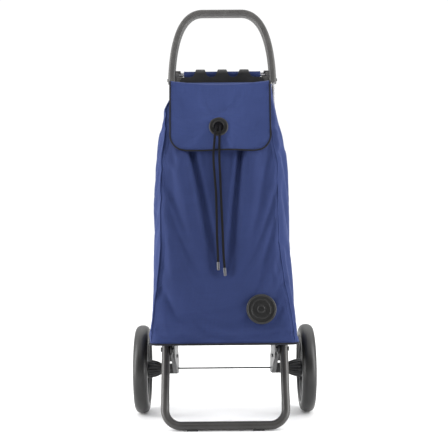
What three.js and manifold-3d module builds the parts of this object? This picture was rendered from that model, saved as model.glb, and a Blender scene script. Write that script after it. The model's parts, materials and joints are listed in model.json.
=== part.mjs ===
// Folding shopping trolley: a fabric bag on a leaning two-rail frame, two quick-release wheels on
// stub axles, and a U-shaped front leg that folds back under the bag once its foot levers let go.
// Millimetres, +Z up, the front faces -Y. Every place below is measured from the axle line
// (y = 0) and the ground (z = 0); the last lines centre the whole object on its footprint.

import * as THREE from 'three';
import { mergeVertices } from 'three/addons/utils/BufferGeometryUtils.js';
import Module from 'manifold-3d';

const wasm = await Module();
wasm.setup();

// ---- driving dimensions ----

const GAP = 0.3; // clearance kept between touching pieces
const SIDES = { left: -1, right: 1 };

const wheel = { radius: 110, inside: 188.5, outside: 224.5, rimRadius: 84, spokes: 6, hubRadius: 18 };
const axle = { radius: 5, from: 123, to: 206, height: wheel.radius };
const dome = { inner: 159, outer: 192.7, smallRadius: 17, bigRadius: 23.5, ribs: 10 };

const rail = { halfSpacing: 132.5, width: 8.4, depth: 20, wall: 1.6, bottom: 130, top: 884 };
const railLean = 85 / 730; // the rails lean back this far per millimetre of height
const railFoot = 120; // the height where the rails' centre line crosses the axle plane

const handle = { width: 19, depth: 26, base: 843, top: 1031.5, flatHalf: 50, baseHalf: 132 };
const crossbar = { radius: 5.5, height: 867, half: 117, sleeveRadius: 8.5, sleeveHalf: 100 };
const hooks = { spacing: 57, width: 24, flare: 44, thickness: 3.4, stripHalf: 110 };

const bag = { bottom: 208, frontTop: 800, backTop: 838, wall: 3, corner: 26 };
const bagFront = { bottom: -290, lean: 105 / 592 };
const flap = { halfWidth: 119.5, thickness: 3, bottom: 646, frontTop: 806, corner: 36 };
const flapHinge = { y: 66, z: 841 };
const grommet = { x: -11, z: 701, radius: 22.5, bore: 12 };
const badge = { x: 82, z: 283, radius: 34, thickness: 4 };

const leg = { halfSpacing: 140, radius: 10, barY: -226, barZ: 11.5, corner: 38 };
const legPivot = { y: -152, z: 178, pinRadius: 4 };
const lever = { pivotY: -62, pivotZ: 150, thickness: 3, slant: 4.7 / 128, rearFace: 115.6 };
const rod = { radius: 2, y: -2, z: 111 };
const platform = { radius: 3, z: 204.5, front: -235, back: -22, half: 134 };
const bracket = { outer: 129.3, top: 201, pivotBoss: 13.5, axleBoss: 13 };

const railY = (z) => (z - railFoot) * railLean;
const bagFrontY = (z) => bagFront.bottom + (z - bag.bottom) * bagFront.lean;
const bagBackY = (z) => railY(z) - rail.depth / 2 - 2;
const leverFace = (y) => lever.rearFace - y * lever.slant;

// ---- solids and cuts ----

// Merge the shared corners and turn the faces outwards.
function closed(geometry) {
  const bare = geometry.clone();
  bare.deleteAttribute('normal');
  bare.deleteAttribute('uv');
  const merged = mergeVertices(bare, 1e-4);
  const at = merged.getAttribute('position');
  const faces = merged.getIndex().array;
  const [a, b, c] = [new THREE.Vector3(), new THREE.Vector3(), new THREE.Vector3()];
  let volume = 0;
  for (let i = 0; i < faces.length; i += 3) {
    a.fromBufferAttribute(at, faces[i]);
    b.fromBufferAttribute(at, faces[i + 1]);
    c.fromBufferAttribute(at, faces[i + 2]);
    volume += a.dot(b.cross(c));
  }
  if (volume < 0) {
    for (let i = 0; i < faces.length; i += 3) {
      [faces[i], faces[i + 1]] = [faces[i + 1], faces[i]];
    }
  }
  return merged;
}

function solid(geometry) {
  const body = closed(geometry);
  return new wasm.Manifold(new wasm.Mesh({
    numProp: 3,
    vertProperties: new Float32Array(body.getAttribute('position').array),
    triVerts: new Uint32Array(body.getIndex().array),
  }));
}

function faceted(manifold) {
  const mesh = manifold.getMesh();
  const geometry = new THREE.BufferGeometry();
  geometry.setAttribute('position', new THREE.BufferAttribute(mesh.vertProperties, 3));
  geometry.setIndex(new THREE.BufferAttribute(mesh.triVerts, 1));
  return geometry;
}

const join = (first, ...others) => faceted(others.reduce((all, one) => all.add(solid(one)), solid(first)));
const cut = (first, ...others) => faceted(others.reduce((all, one) => all.subtract(solid(one)), solid(first)));
const overlap = (first, second) => faceted(solid(first).intersect(solid(second)));

// ---- shape builders ----

function ellipse(width, depth, sides) {
  const shape = new THREE.Shape();
  for (let i = 0; i < sides; i += 1) {
    const turn = ((i + 0.5) / sides) * 2 * Math.PI;
    const place = [Math.cos(turn) * width / 2, Math.sin(turn) * depth / 2];
    if (i === 0) {
      shape.moveTo(...place);
    } else {
      shape.lineTo(...place);
    }
  }
  shape.closePath();
  return shape;
}

// A section with two flat sides and two round ends, as an extruded rail has.
function flatOval(width, depth) {
  const radius = width / 2;
  const reach = depth / 2 - radius;
  const shape = new THREE.Shape();
  shape.absarc(0, reach, radius, 0, Math.PI, false);
  shape.absarc(0, -reach, radius, Math.PI, 2 * Math.PI, false);
  shape.closePath();
  return shape;
}

function roundedRectangle(width, depth, radius) {
  const [x, y] = [width / 2 - radius, depth / 2 - radius];
  const shape = new THREE.Shape();
  shape.absarc(x, y, radius, 0, Math.PI / 2, false);
  shape.absarc(-x, y, radius, Math.PI / 2, Math.PI, false);
  shape.absarc(-x, -y, radius, Math.PI, 1.5 * Math.PI, false);
  shape.absarc(x, -y, radius, 1.5 * Math.PI, 2 * Math.PI, false);
  shape.closePath();
  return shape;
}

function polygon(points) {
  return new THREE.Shape(points.map(([x, y]) => new THREE.Vector2(x, y)));
}

// A route that is straight between its points, so that a sweep steps only where the route turns.
class Route extends THREE.Curve {
  constructor(points) {
    super();
    this.points = points;
  }

  getPoint(t, target = new THREE.Vector3()) {
    const place = t * (this.points.length - 1);
    const first = Math.min(Math.floor(place), this.points.length - 2);
    return target.lerpVectors(this.points[first], this.points[first + 1], place - first);
  }

  getPointAt(u, target) {
    return this.getPoint(u, target);
  }

  getTangentAt(u, target) {
    return this.getTangent(u, target);
  }
}

// The points of a path through corners, each rounded by an arc of the given radius.
function rounded(corners, radius, steps = 6) {
  const points = [corners[0]];
  for (let i = 1; i < corners.length - 1; i += 1) {
    const [before, corner, after] = [corners[i - 1], corners[i], corners[i + 1]];
    const back = before.clone().sub(corner).normalize();
    const ahead = after.clone().sub(corner).normalize();
    const half = back.angleTo(ahead) / 2;
    const middle = back.clone().add(ahead).normalize().multiplyScalar(radius / Math.sin(half));
    const centre = corner.clone().add(middle);
    const start = corner.clone().addScaledVector(back, radius / Math.tan(half)).sub(centre);
    const end = corner.clone().addScaledVector(ahead, radius / Math.tan(half)).sub(centre);
    const sweep = start.angleTo(end);
    const axis = start.clone().cross(end).normalize();
    for (let step = 0; step <= steps; step += 1) {
      points.push(start.clone().applyAxisAngle(axis, (sweep * step) / steps).add(centre));
    }
  }
  points.push(corners.at(-1));
  return points;
}

function sweep(section, points, curveSegments = 6) {
  return new THREE.ExtrudeGeometry(section, {
    extrudePath: new Route(points), steps: points.length - 1, curveSegments,
  });
}

const tube = (radius, points, sides = 12) => sweep(ellipse(2 * radius, 2 * radius, sides), points);

// A side view (y, z) given thickness across the trolley, between two places on X.
function plate(outline, from, to, curveSegments = 8) {
  const [low, high] = [Math.min(from, to), Math.max(from, to)];
  const geometry = new THREE.ExtrudeGeometry(outline, {
    depth: high - low, bevelEnabled: false, curveSegments,
  });
  const turned = new THREE.Matrix4().makeBasis(
    new THREE.Vector3(0, 1, 0), new THREE.Vector3(0, 0, 1), new THREE.Vector3(1, 0, 0));
  return geometry.applyMatrix4(turned).translate(low, 0, 0);
}

// A front view (x, z) given thickness along Y.
function panel(outline, from, to, curveSegments = 8) {
  const geometry = new THREE.ExtrudeGeometry(outline, {
    depth: to - from, bevelEnabled: false, curveSegments,
  });
  return geometry.rotateX(Math.PI / 2).translate(0, to, 0);
}

// A turned piece about the X axis: the profile is [distance outwards, radius].
function turned(side, profile, y, z, segments = 32) {
  const points = profile.map(([out, radius]) => new THREE.Vector2(radius, out));
  const geometry = new THREE.LatheGeometry(points, segments).rotateZ(-Math.PI / 2);
  return geometry.rotateZ(side > 0 ? 0 : Math.PI).translate(0, y, z);
}

function pin(side, radius, from, to, y, z, segments = 20) {
  return turned(side, [[from, 0], [from, radius], [to, radius], [to, 0]], y, z, segments);
}

function box(x, y, z, width, depth, height) {
  return new THREE.BoxGeometry(width, depth, height).translate(x, y, z);
}

// A coil about the X axis from one place to another.
function coil(side, radius, wire, turns, from, to, y, z) {
  const stepsPerTurn = 8;
  const points = [];
  for (let i = 0; i <= turns * stepsPerTurn; i += 1) {
    const angle = (i / stepsPerTurn) * 2 * Math.PI;
    const out = from + (to - from) * (i / (turns * stepsPerTurn));
    points.push(new THREE.Vector3(side * out, y + radius * Math.cos(angle), z + radius * Math.sin(angle)));
  }
  return tube(wire, points, 5);
}

// ---- the model ----

const trolley = new THREE.Group();
const cords = new THREE.Group();

const finishes = {
  handle: { color: 0x6b6b6b, roughness: 0.45, metalness: 0.1 },
  aluminium: { color: 0x8d8f92, roughness: 0.35, metalness: 0.9 },
  steel: { color: 0xa0a2a5, roughness: 0.3, metalness: 1.0 },
  legPaint: { color: 0x484747, roughness: 0.4, metalness: 0.3 },
  blackPlastic: { color: 0x161616, roughness: 0.55, metalness: 0.0 },
  greyPlastic: { color: 0x696969, roughness: 0.5, metalness: 0.0 },
  rim: { color: 0x434343, roughness: 0.5, metalness: 0.0 },
  tyre: { color: 0x3c3c3b, roughness: 0.8, metalness: 0.0 },
  fabric: { color: 0x303b67, roughness: 0.85, metalness: 0.0 },
  cord: { color: 0x141418, roughness: 0.9, metalness: 0.0 },
};

function add(name, geometry, finish, parent = trolley) {
  const mesh = new THREE.Mesh(closed(geometry), new THREE.MeshStandardMaterial(finishes[finish]));
  mesh.name = name;
  parent.add(mesh);
}

// A straight length of the leaning rail line, in a given section.
function alongRail(section, x, from, to, curveSegments = 4) {
  const ends = [from, to].map((z) => new THREE.Vector3(x, railY(z), z));
  return sweep(section, ends, curveSegments);
}

function addRails() {
  for (const [name, side] of Object.entries(SIDES)) {
    const section = flatOval(rail.width, rail.depth);
    section.holes.push(flatOval(rail.width - 2 * rail.wall, rail.depth - 2 * rail.wall));
    add(`rail_${name}`, alongRail(section, side * rail.halfSpacing, rail.bottom, rail.top), 'aluminium');
  }
}

function addHandle() {
  const start = [handle.baseHalf, handle.base + 12];
  const bend = new THREE.CubicBezierCurve(
    new THREE.Vector2(...start), new THREE.Vector2(128, 960),
    new THREE.Vector2(105, handle.top), new THREE.Vector2(handle.flatHalf, handle.top));
  const half = [new THREE.Vector2(handle.baseHalf, handle.base), ...bend.getPoints(10)];
  const place = (point, side) => new THREE.Vector3(side * point.x, railY(point.y), point.y);
  const points = [...half.map((p) => place(p, 1)), ...half.reverse().map((p) => place(p, -1))];
  const hoop = sweep(ellipse(handle.width, handle.depth, 12), points);
  const barY = railY(crossbar.height);
  const holders = [];
  const bores = [];
  for (const side of Object.values(SIDES)) {
    holders.push(box(side * 116, barY, crossbar.height - 3, 18, 18, 24));
    bores.push(alongRail(flatOval(rail.width + 2 * GAP, rail.depth + 2 * GAP),
      side * rail.halfSpacing, rail.bottom, rail.top + GAP));
    bores.push(pin(side, 2.6, 130, 150, railY(852), 852, 12));
  }
  const barBore = pin(1, crossbar.radius + GAP, -crossbar.half - GAP, crossbar.half + GAP, barY, crossbar.height);
  add('handle', cut(join(hoop, ...holders), ...bores, barBore), 'handle');
  add('crossbar', pin(1, crossbar.radius, -crossbar.half, crossbar.half, barY, crossbar.height), 'aluminium');
  const [inner, outer, end] = [crossbar.radius + GAP, crossbar.sleeveRadius, crossbar.sleeveHalf];
  const sleeve = [[-end, inner], [-end, outer], [end, outer], [end, inner], [-end, inner]];
  add('crossbar_sleeve', turned(1, sleeve, barY, crossbar.height, 20), 'fabric');
}

function addHookStrip() {
  const barY = railY(crossbar.height);
  const inner = crossbar.sleeveRadius + GAP + 0.4;
  const outer = inner + hooks.thickness;
  const arch = new THREE.Shape();
  arch.absarc(barY, crossbar.height, outer, Math.PI, -0.15 * Math.PI, true);
  arch.absarc(barY, crossbar.height, inner, -0.15 * Math.PI, Math.PI, false);
  arch.closePath();
  const [low, shoulder] = [crossbar.height - 25, crossbar.height - 8];
  const stripFace = [barY - outer, barY - inner];
  const strip = roundedRectangle(2 * hooks.stripHalf, shoulder - low, 6);
  const pieces = [panel(strip, ...stripFace, 3).translate(0, 0, (shoulder + low) / 2)];
  for (const place of [-1, 0, 1]) {
    const x = place * hooks.spacing;
    const tab = polygon([
      [x - hooks.flare / 2, shoulder - 3], [x + hooks.flare / 2, shoulder - 3],
      [x + hooks.width / 2, crossbar.height + 0.2], [x - hooks.width / 2, crossbar.height + 0.2]]);
    pieces.push(panel(tab, ...stripFace));
    pieces.push(plate(arch, x - hooks.width / 2, x + hooks.width / 2, 5));
  }
  add('hook_strip', join(...pieces), 'blackPlastic');
}

// The side outline of the rear bracket: an arm from the axle boss forward to the leg's pivot.
function bracketOutline() {
  const shape = new THREE.Shape();
  shape.absarc(legPivot.y, legPivot.z, bracket.pivotBoss, 0.6 * Math.PI, 1.6 * Math.PI, false);
  shape.absarc(0, axle.height, bracket.axleBoss, 1.35 * Math.PI, 2 * Math.PI, false);
  shape.lineTo(railY(bracket.top) + 17, bracket.top);
  shape.lineTo(-112, bracket.top);
  shape.closePath();
  return shape;
}

function addBrackets() {
  const front = legPivot.y - bracket.pivotBoss - 1;
  const rear = railY(bracket.top) + 18;
  for (const [name, side] of Object.entries(SIDES)) {
    const inner = (y) => leverFace(y) + lever.thickness + 0.5;
    const plan = polygon([
      [side * inner(front), front], [side * bracket.outer, front],
      [side * bracket.outer, rear], [side * inner(rear), rear]]);
    const wedge = new THREE.ExtrudeGeometry(plan, { depth: 140, bevelEnabled: false });
    const arm = overlap(wedge.translate(0, 0, 80), plate(bracketOutline(), side * 100, side * 150));
    const socket = box(side * 134.3, 0, 0, 13, 32, 73).rotateX(-Math.atan(railLean));
    socket.translate(0, railY(164.2), 164.2);
    const hung = overlap(socket, box(side * 134.3, 0, 100, 30, 200, 2 * (bracket.top - 100)));
    const boss = pin(side, bracket.axleBoss, 125, 157, 0, axle.height, 24);
    const bores = [
      pin(side, axle.radius + GAP, axle.from - GAP, 170, 0, axle.height),
      pin(side, legPivot.pinRadius + GAP, 110, 140, legPivot.y, legPivot.z),
      pin(side, 3 + GAP, 110, 127, lever.pivotY, lever.pivotZ, 16),
      pin(side, 8.5, 110, 125.8, lever.pivotY, lever.pivotZ, 24),
      alongRail(flatOval(rail.width + 2 * GAP, rail.depth + 2 * GAP),
        side * rail.halfSpacing, rail.bottom - GAP, 260),
      new THREE.CylinderGeometry(platform.radius + GAP, platform.radius + GAP, 30, 12)
        .rotateX(Math.PI / 2).translate(side * platform.half, platform.back, 200),
      pin(side, 2.6, 125, 150, railY(175), 175, 12),
    ];
    add(`bracket_${name}`, cut(join(arm, hung, boss), ...bores), 'blackPlastic');
  }
}

// Blind rivets that hold the rails' ends, their heads just clear of the surface they pull on.
function addFasteners() {
  const stop = rail.halfSpacing + rail.width / 2 + GAP;
  for (const [name, side] of Object.entries(SIDES)) {
    for (const [place, height, surface] of [['handle', 852, 141.6], ['bracket', 175, 140.8]]) {
      const head = surface + GAP;
      const profile = [[stop, 0], [stop, 2.2], [head, 2.2], [head, 4.6], [head + 2, 3.4], [head + 2, 0]];
      add(`${place}_rivet_${name}`, turned(side, profile, railY(height), height, 14), 'steel');
    }
  }
}

function addAxles() {
  for (const [name, side] of Object.entries(SIDES)) {
    const end = axle.to;
    const profile = [
      [axle.from, 0], [axle.from, axle.radius], [end - 6, axle.radius], [end - 6, 4],
      [end - 4, 4], [end - 4, axle.radius], [end - 1, axle.radius], [end, 4], [end, 0]];
    add(`axle_${name}`, turned(side, profile, 0, axle.height, 14), 'steel');
  }
}

function addPlatform() {
  const { half, front, back, z } = platform;
  const corners = [[half, back, 187], [half, back, z], [half, front, z],
    [-half, front, z], [-half, back, z], [-half, back, 187]];
  const hoop = rounded(corners.map((corner) => new THREE.Vector3(...corner)), 9, 4);
  const bars = [-0.68, -0.34, 0].map((share) => {
    const y = front + 0.98 * (back - front) * (1 + share) - 4;
    const ends = [-half, half].map((x) => new THREE.Vector3(x, y, z));
    return tube(platform.radius - 0.5, ends, 8);
  });
  add('bag_platform', join(tube(platform.radius, hoop, 8), ...bars), 'steel');
}

// The bag narrows towards its mouth, most of all in its last quarter.
function bagWidth(z) {
  const straight = 330 - 27 * (z - bag.bottom) / 415;
  return straight - 38 * THREE.MathUtils.smoothstep(z, 610, 790);
}

// A box-shaped sack: a rounded rectangle stretched to the bag's width and depth at each height.
function sack(inset, floor, overshoot) {
  const steps = 8;
  const section = roundedRectangle(2, 2, 2 * bag.corner / 290);
  const geometry = new THREE.ExtrudeGeometry(section, {
    depth: 1, steps, bevelEnabled: false, curveSegments: 3,
  });
  const at = geometry.getAttribute('position');
  for (let i = 0; i < at.count; i += 1) {
    const [x, y, t] = [at.getX(i), at.getY(i), at.getZ(i)];
    const rim = THREE.MathUtils.lerp(bag.frontTop, bag.backTop, (y + 1) / 2) + overshoot;
    const z = THREE.MathUtils.lerp(floor, rim, t);
    const [front, back] = [bagFrontY(z) + inset, bagBackY(z) - inset];
    at.setXYZ(i, x * (bagWidth(z) / 2 - inset), (front + back) / 2 + y * (back - front) / 2, z);
  }
  return geometry;
}

function addBag() {
  const body = cut(sack(0, bag.bottom, 0), sack(bag.wall, bag.bottom + bag.wall, 20));
  add('bag', body, 'fabric');
}

// Tilts a flat piece, built about the origin and facing -Y, on to the bag's sloping front.
function onFront(geometry, x, z, standoff) {
  return geometry.rotateX(Math.atan(bagFront.lean) * -1).translate(x, bagFrontY(z) - standoff, z);
}

function addBadge() {
  const { radius, thickness } = badge;
  const profile = [[0, 0], [0, radius], [thickness - 1.2, radius], [thickness, radius - 1.6], [thickness, 0]];
  const disc = turned(1, profile, 0, 0, 32).rotateZ(-Math.PI / 2);
  add('badge', onFront(disc, badge.x, badge.z, 0.5), 'blackPlastic');
}

function addFlap() {
  const { thickness, bottom, frontTop } = flap;
  const outerY = (z) => bagFrontY(z) - 1 - thickness;
  const innerY = (z) => bagFrontY(z) - 1;
  const side = polygon([
    [flapHinge.y, flapHinge.z - 0.4], [flapHinge.y, flapHinge.z + thickness - 0.4],
    [outerY(frontTop) + thickness, frontTop], [outerY(frontTop), frontTop - thickness],
    [outerY(bottom), bottom], [innerY(bottom), bottom], [innerY(frontTop), frontTop - thickness]]);
  const front = roundedRectangle(2 * flap.halfWidth, 400, flap.corner);
  const outline = panel(front, -320, 120, 5).translate(0, 0, bottom + 200);
  const standoff = 1 + thickness + 0.1;
  const hole = turned(1, [[-30, 0], [-30, 16.8], [30, 16.8], [30, 0]], 0, 0, 24).rotateZ(-Math.PI / 2);
  const body = cut(overlap(plate(side, -140, 140), outline), onFront(hole, grommet.x, grommet.z, standoff));
  add('flap', body, 'fabric');
  const { radius, bore } = grommet;
  const ring = [[-3.4, bore], [-3.4, 16.4], [0.2, 16.4], [0.2, radius], [1.6, radius],
    [3, radius - 2], [3, bore + 1.2], [2, bore], [-3.4, bore]];
  const eyelet = turned(1, ring, 0, 0, 28).rotateZ(-Math.PI / 2);
  add('grommet', onFront(eyelet, grommet.x, grommet.z, standoff), 'blackPlastic');
}

// Each drawcord leaves the bag's front inside the grommet, bends down over the flap and hangs
// against the front panel: [x, height, distance in front of the bag].
const cordRoutes = {
  left: [[-15, 702, 2.8], [-15.5, 701.5, 7], [-17, 698, 11], [-18.5, 690, 12.2], [-21.5, 660, 8.6], [-23, 640, 8.2],
    [-23, 618, 5], [-20.5, 580, 4.2], [-18, 542, 4.2], [-17, 491, 4.2], [-16.5, 443, 4.2], [-14.8, 404, 4.2],
    [-14.5, 389, 4.2]],
  right: [[-7.5, 702, 2.8], [-7.5, 701.5, 7], [-8, 698, 11], [-8.5, 690, 12.2], [-9.5, 660, 8.6], [-9.8, 640, 8.2],
    [-9.5, 618, 5], [-8, 580, 4.2], [-6.9, 542, 4.2], [-5, 491, 4.2], [-3.2, 443, 4.2], [-2, 404, 4.2],
    [0, 376, 4.2]],
};
const cord = { radius: 2.7, tipRadius: 3.4, tipLength: 18 };

function addCords() {
  for (const [name, route] of Object.entries(cordRoutes)) {
    const places = route.map(([x, z, out]) => new THREE.Vector3(x, bagFrontY(z) - out, z));
    const line = new THREE.CatmullRomCurve3(places, false, 'centripetal').getSpacedPoints(26);
    add(`drawcord_${name}`, tube(cord.radius, line, 8), 'cord', cords);
    const end = line.at(-1);
    const along = line.at(-1).clone().sub(line.at(-2)).normalize();
    const tip = tube(cord.tipRadius, [end.clone().addScaledVector(along, GAP),
      end.clone().addScaledVector(along, GAP + cord.tipLength)], 12);
    add(`cord_tip_${name}`, tip, 'steel', cords);
  }
}

function addWheels() {
  const { radius, inside, outside, rimRadius, hubRadius } = wheel;
  const middle = (inside + outside) / 2;
  const tread = [
    [inside + 3.5, rimRadius], [inside, rimRadius + 6], [inside + 1, 99], [inside + 5, 106.2], [inside + 11, 109.4],
    [middle, radius], [outside - 11, 109.4], [outside - 5, 106.2], [outside - 1, 99],
    [outside, rimRadius + 6], [outside - 3.5, rimRadius], [inside + 3.5, rimRadius]];
  const felloe = [
    [inside + 6, 75], [inside + 5, rimRadius - GAP], [outside - 5, rimRadius - GAP],
    [outside - 6, 75], [outside - 10, 73], [inside + 10, 73], [inside + 6, 75]];
  const hubTube = [[193.3, 8.4], [193.3, hubRadius], [219.3, hubRadius], [219.3, 8.4], [193.3, 8.4]];
  for (const [name, side] of Object.entries(SIDES)) {
    const centred = (profile, segments) => turned(side, profile, 0, axle.height, segments);
    add(`tyre_${name}`, centred(tread, 36), 'tyre');
    const spokes = [];
    for (let i = 0; i < wheel.spokes; i += 1) {
      const spoke = box(side * middle, 0, 45.5, 12, 11, 58);
      spoke.rotateX((i / wheel.spokes) * 2 * Math.PI).translate(0, 0, axle.height);
      spokes.push(spoke);
    }
    add(`rim_${name}`, join(centred(felloe, 36), centred(hubTube, 20), ...spokes), 'rim');
    addHub(name, side, centred);
  }
}

// The ribbed dome inside each wheel, its bush, the outer cap and the sprung release button.
function addHub(name, side, centred) {
  const { inner, outer, smallRadius, bigRadius, ribs } = dome;
  const shell = (offset) => [
    [inner, 0], [inner, smallRadius - 6 + offset], [inner + 3, smallRadius - 1 + offset],
    [inner + 13, bigRadius - 3.2 + offset], [inner + 24, bigRadius - 0.6 + offset],
    [outer, bigRadius + offset], [outer, 0]];
  const blades = [];
  for (let i = 0; i < ribs / 2; i += 1) {
    const blade = box(side * (inner + outer) / 2, 0, 0, outer - inner, 3, 60);
    blades.push(blade.rotateX((i / ribs) * 2 * Math.PI).translate(0, 0, axle.height));
  }
  const fins = overlap(join(...blades), centred(shell(0), 16));
  const bore = pin(side, axle.radius + 0.6, inner - 5, outer + 5, 0, axle.height, 20);
  add(`hub_dome_${name}`, cut(join(centred(shell(-2), 16), fins), bore), 'blackPlastic');
  const bush = [[193.6, 5.4], [193.6, 8.1], [205.6, 8.1], [205.6, 5.4], [193.6, 5.4]];
  add(`wheel_bush_${name}`, centred(bush, 20), 'greyPlastic');
  const cap = [[219.6, 8.4], [219.6, 21], [221.4, 21], [223.2, 17], [223.2, 8.4], [219.6, 8.4]];
  add(`hub_cap_${name}`, centred(cap, 28), 'blackPlastic');
  const button = [[214.6, 0], [214.6, 8], [223.8, 8], [224.8, 6.8], [224.8, 0]];
  add(`release_button_${name}`, centred(button, 20), 'greyPlastic');
  add(`button_spring_${name}`, coil(side, 4.6, 0.6, 4, 207.2, 213.7, 0, axle.height), 'steel');
}

function addFrontLeg() {
  const foot = new THREE.Vector2(leg.barY, leg.barZ);
  const pivot = new THREE.Vector2(legPivot.y, legPivot.z);
  const up = pivot.clone().sub(foot).normalize();
  const reach = pivot.distanceTo(foot);
  const place = (x, along) => new THREE.Vector3(x, foot.x + up.x * along, foot.y + up.y * along);
  const corners = [place(leg.halfSpacing, reach + 9), place(leg.halfSpacing, 0),
    place(-leg.halfSpacing, 0), place(-leg.halfSpacing, reach + 9)];
  const hoop = tube(leg.radius, rounded(corners, leg.corner, 7), 12);
  const bores = Object.values(SIDES).map((side) => (
    pin(side, legPivot.pinRadius + GAP, 120, 160, legPivot.y, legPivot.z)));
  add('front_leg', cut(hoop, ...bores), 'legPaint');
  for (const [name, side] of Object.entries(SIDES)) {
    const x = side * leg.halfSpacing;
    const plug = tube(leg.radius, [place(x, reach + 9 + GAP), place(x, reach + 12)], 12);
    add(`leg_plug_${name}`, plug, 'blackPlastic');
    const shaft = [[120.2, 0], [120.2, legPivot.pinRadius], [150.6, legPivot.pinRadius],
      [150.6, 6], [152.6, 5], [152.6, 0]];
    add(`leg_pivot_pin_${name}`, turned(side, shaft, legPivot.y, legPivot.z, 20), 'steel');
    const saddle = cut(box(side * 76, leg.barY, 4.6, 26, 15, 9.2),
      pin(1, leg.radius + GAP, -100, 100, leg.barY, leg.barZ, 14));
    add(`foot_pad_${name}`, saddle, 'blackPlastic');
    addLatchCam(name, side);
  }
}

// The toothed cam on the inner end of each pivot pin, which the foot lever's hook holds.
function addLatchCam(name, side) {
  const { y, z } = legPivot;
  const shape = new THREE.Shape();
  shape.absarc(y, z, 9, 0.72 * Math.PI, 2.28 * Math.PI, false);
  shape.absarc(y, z, 13, 0.36 * Math.PI, 0.6 * Math.PI, false);
  shape.closePath();
  const disc = plate(shape, side * 120.7, side * 123.6, 10);
  const bore = pin(side, legPivot.pinRadius + GAP, 110, 140, y, z);
  add(`latch_cam_${name}`, cut(disc, bore), 'steel');
}

function addFootLevers() {
  const { y, z } = legPivot;
  const outline = polygon([
    [-122, 152], [-10, 100], [3, 100], [7, 104], [7, 140], [-14, 156], [-92, 190], [-112, 195.5],
    [y - 13, 195.5], [y - 13, z + 9], [y - 10.2, z + 9], [y - 7, z + 13.6], [-126, z + 13.6], [-126, 156]]);
  const turn = Math.atan(lever.slant);
  for (const [name, side] of Object.entries(SIDES)) {
    const blade = plate(outline, 0, side * lever.thickness);
    blade.rotateZ(side * turn).translate(side * lever.rearFace, 0, 0);
    const bores = [
      pin(side, 3 + GAP, 105, 140, lever.pivotY, lever.pivotZ, 16),
      pin(side, rod.radius + GAP, 105, 140, rod.y, rod.z, 12)];
    add(`foot_lever_${name}`, cut(blade, ...bores), 'greyPlastic');
    const head = leverFace(lever.pivotY) - 0.7;
    const shaft = [[head - 1.8, 0], [head - 1.8, 4.4], [head, 5], [head, 3], [126.6, 3], [126.6, 0]];
    add(`lever_pin_${name}`, turned(side, shaft, lever.pivotY, lever.pivotZ, 16), 'steel');
    const spring = coil(side, 5.6, 0.6, 2, 122.4, 125, lever.pivotY, lever.pivotZ);
    add(`lever_spring_${name}`, spring, 'steel');
  }
  add('release_rod', pin(1, rod.radius, -118.2, 118.2, rod.y, rod.z, 12), 'steel');
}

addRails();
addHandle();
addHookStrip();
addBrackets();
addFasteners();
addAxles();
addPlatform();
addBag();
addBadge();
addFlap();
addCords();
addWheels();
addFrontLeg();
addFootLevers();

// Centre the footprint on the origin: the box is taken before the cords are hung on.
const extent = new THREE.Box3().setFromObject(trolley);
trolley.add(cords);
trolley.position.y = -(extent.min.y + extent.max.y) / 2;

export default trolley;
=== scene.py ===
"""Folding shopping trolley: the looks of every piece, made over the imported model."""
import json
import math

import bmesh
import bpy
import numpy as np
from mathutils import Euler, Matrix, Vector, noise

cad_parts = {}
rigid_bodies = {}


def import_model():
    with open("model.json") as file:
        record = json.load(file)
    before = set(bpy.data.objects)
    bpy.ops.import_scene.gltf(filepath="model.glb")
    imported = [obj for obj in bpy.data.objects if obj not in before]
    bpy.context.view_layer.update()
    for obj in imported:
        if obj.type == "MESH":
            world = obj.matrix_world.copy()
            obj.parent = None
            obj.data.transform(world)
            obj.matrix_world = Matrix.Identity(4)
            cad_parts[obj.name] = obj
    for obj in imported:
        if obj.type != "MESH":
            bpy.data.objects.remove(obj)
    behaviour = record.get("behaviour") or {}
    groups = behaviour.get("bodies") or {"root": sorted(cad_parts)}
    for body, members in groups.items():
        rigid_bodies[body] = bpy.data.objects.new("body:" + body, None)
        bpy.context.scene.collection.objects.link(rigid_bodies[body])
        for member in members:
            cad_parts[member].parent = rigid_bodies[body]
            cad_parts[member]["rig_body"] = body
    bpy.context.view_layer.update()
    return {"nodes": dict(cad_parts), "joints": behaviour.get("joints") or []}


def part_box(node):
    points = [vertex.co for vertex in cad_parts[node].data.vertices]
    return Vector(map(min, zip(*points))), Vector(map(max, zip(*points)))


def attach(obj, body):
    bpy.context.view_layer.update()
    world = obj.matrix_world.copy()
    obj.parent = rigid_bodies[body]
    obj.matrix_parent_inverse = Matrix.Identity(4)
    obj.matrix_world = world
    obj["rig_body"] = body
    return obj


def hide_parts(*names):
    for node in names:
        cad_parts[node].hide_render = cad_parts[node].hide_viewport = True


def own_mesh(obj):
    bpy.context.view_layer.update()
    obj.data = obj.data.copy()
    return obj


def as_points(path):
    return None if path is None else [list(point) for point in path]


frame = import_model()

# ---- the frame's own places ----

JOINTS = {joint["name"]: joint for joint in frame["joints"]}
AXLE_Y, AXLE_Z = JOINTS["wheel_spin_right"]["pos_m"][1:]
LEG_PIVOT = Vector(JOINTS["front_leg_fold"]["pos_m"])
HINGE = Vector(JOINTS["flap_open"]["pos_m"])
MM = 0.001
SIDES = {"left": -1, "right": 1}

# The bag: heights, front and back planes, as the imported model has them.
BAG_LOW, BAG_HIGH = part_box("bag")
FLAP_LOW, FLAP_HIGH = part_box("flap")
BAG_BOTTOM = BAG_LOW.z
RIM_FRONT = 0.800
RIM_BACK = BAG_HIGH.z
# How far the front and the rails lean back for each metre up, and the height where the rails
# stand over the axle.
FRONT_LEAN = 105 / 592
RAIL_LEAN = 85 / 730
RAIL_FOOT = 0.120
FLAP_HALF = (FLAP_HIGH.x - FLAP_LOW.x) / 2


def rail_y(z):
    return AXLE_Y + (z - RAIL_FOOT) * RAIL_LEAN


# The crossbar's middle.
BAR = Vector((0, rail_y(0.867), 0.867))


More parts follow.
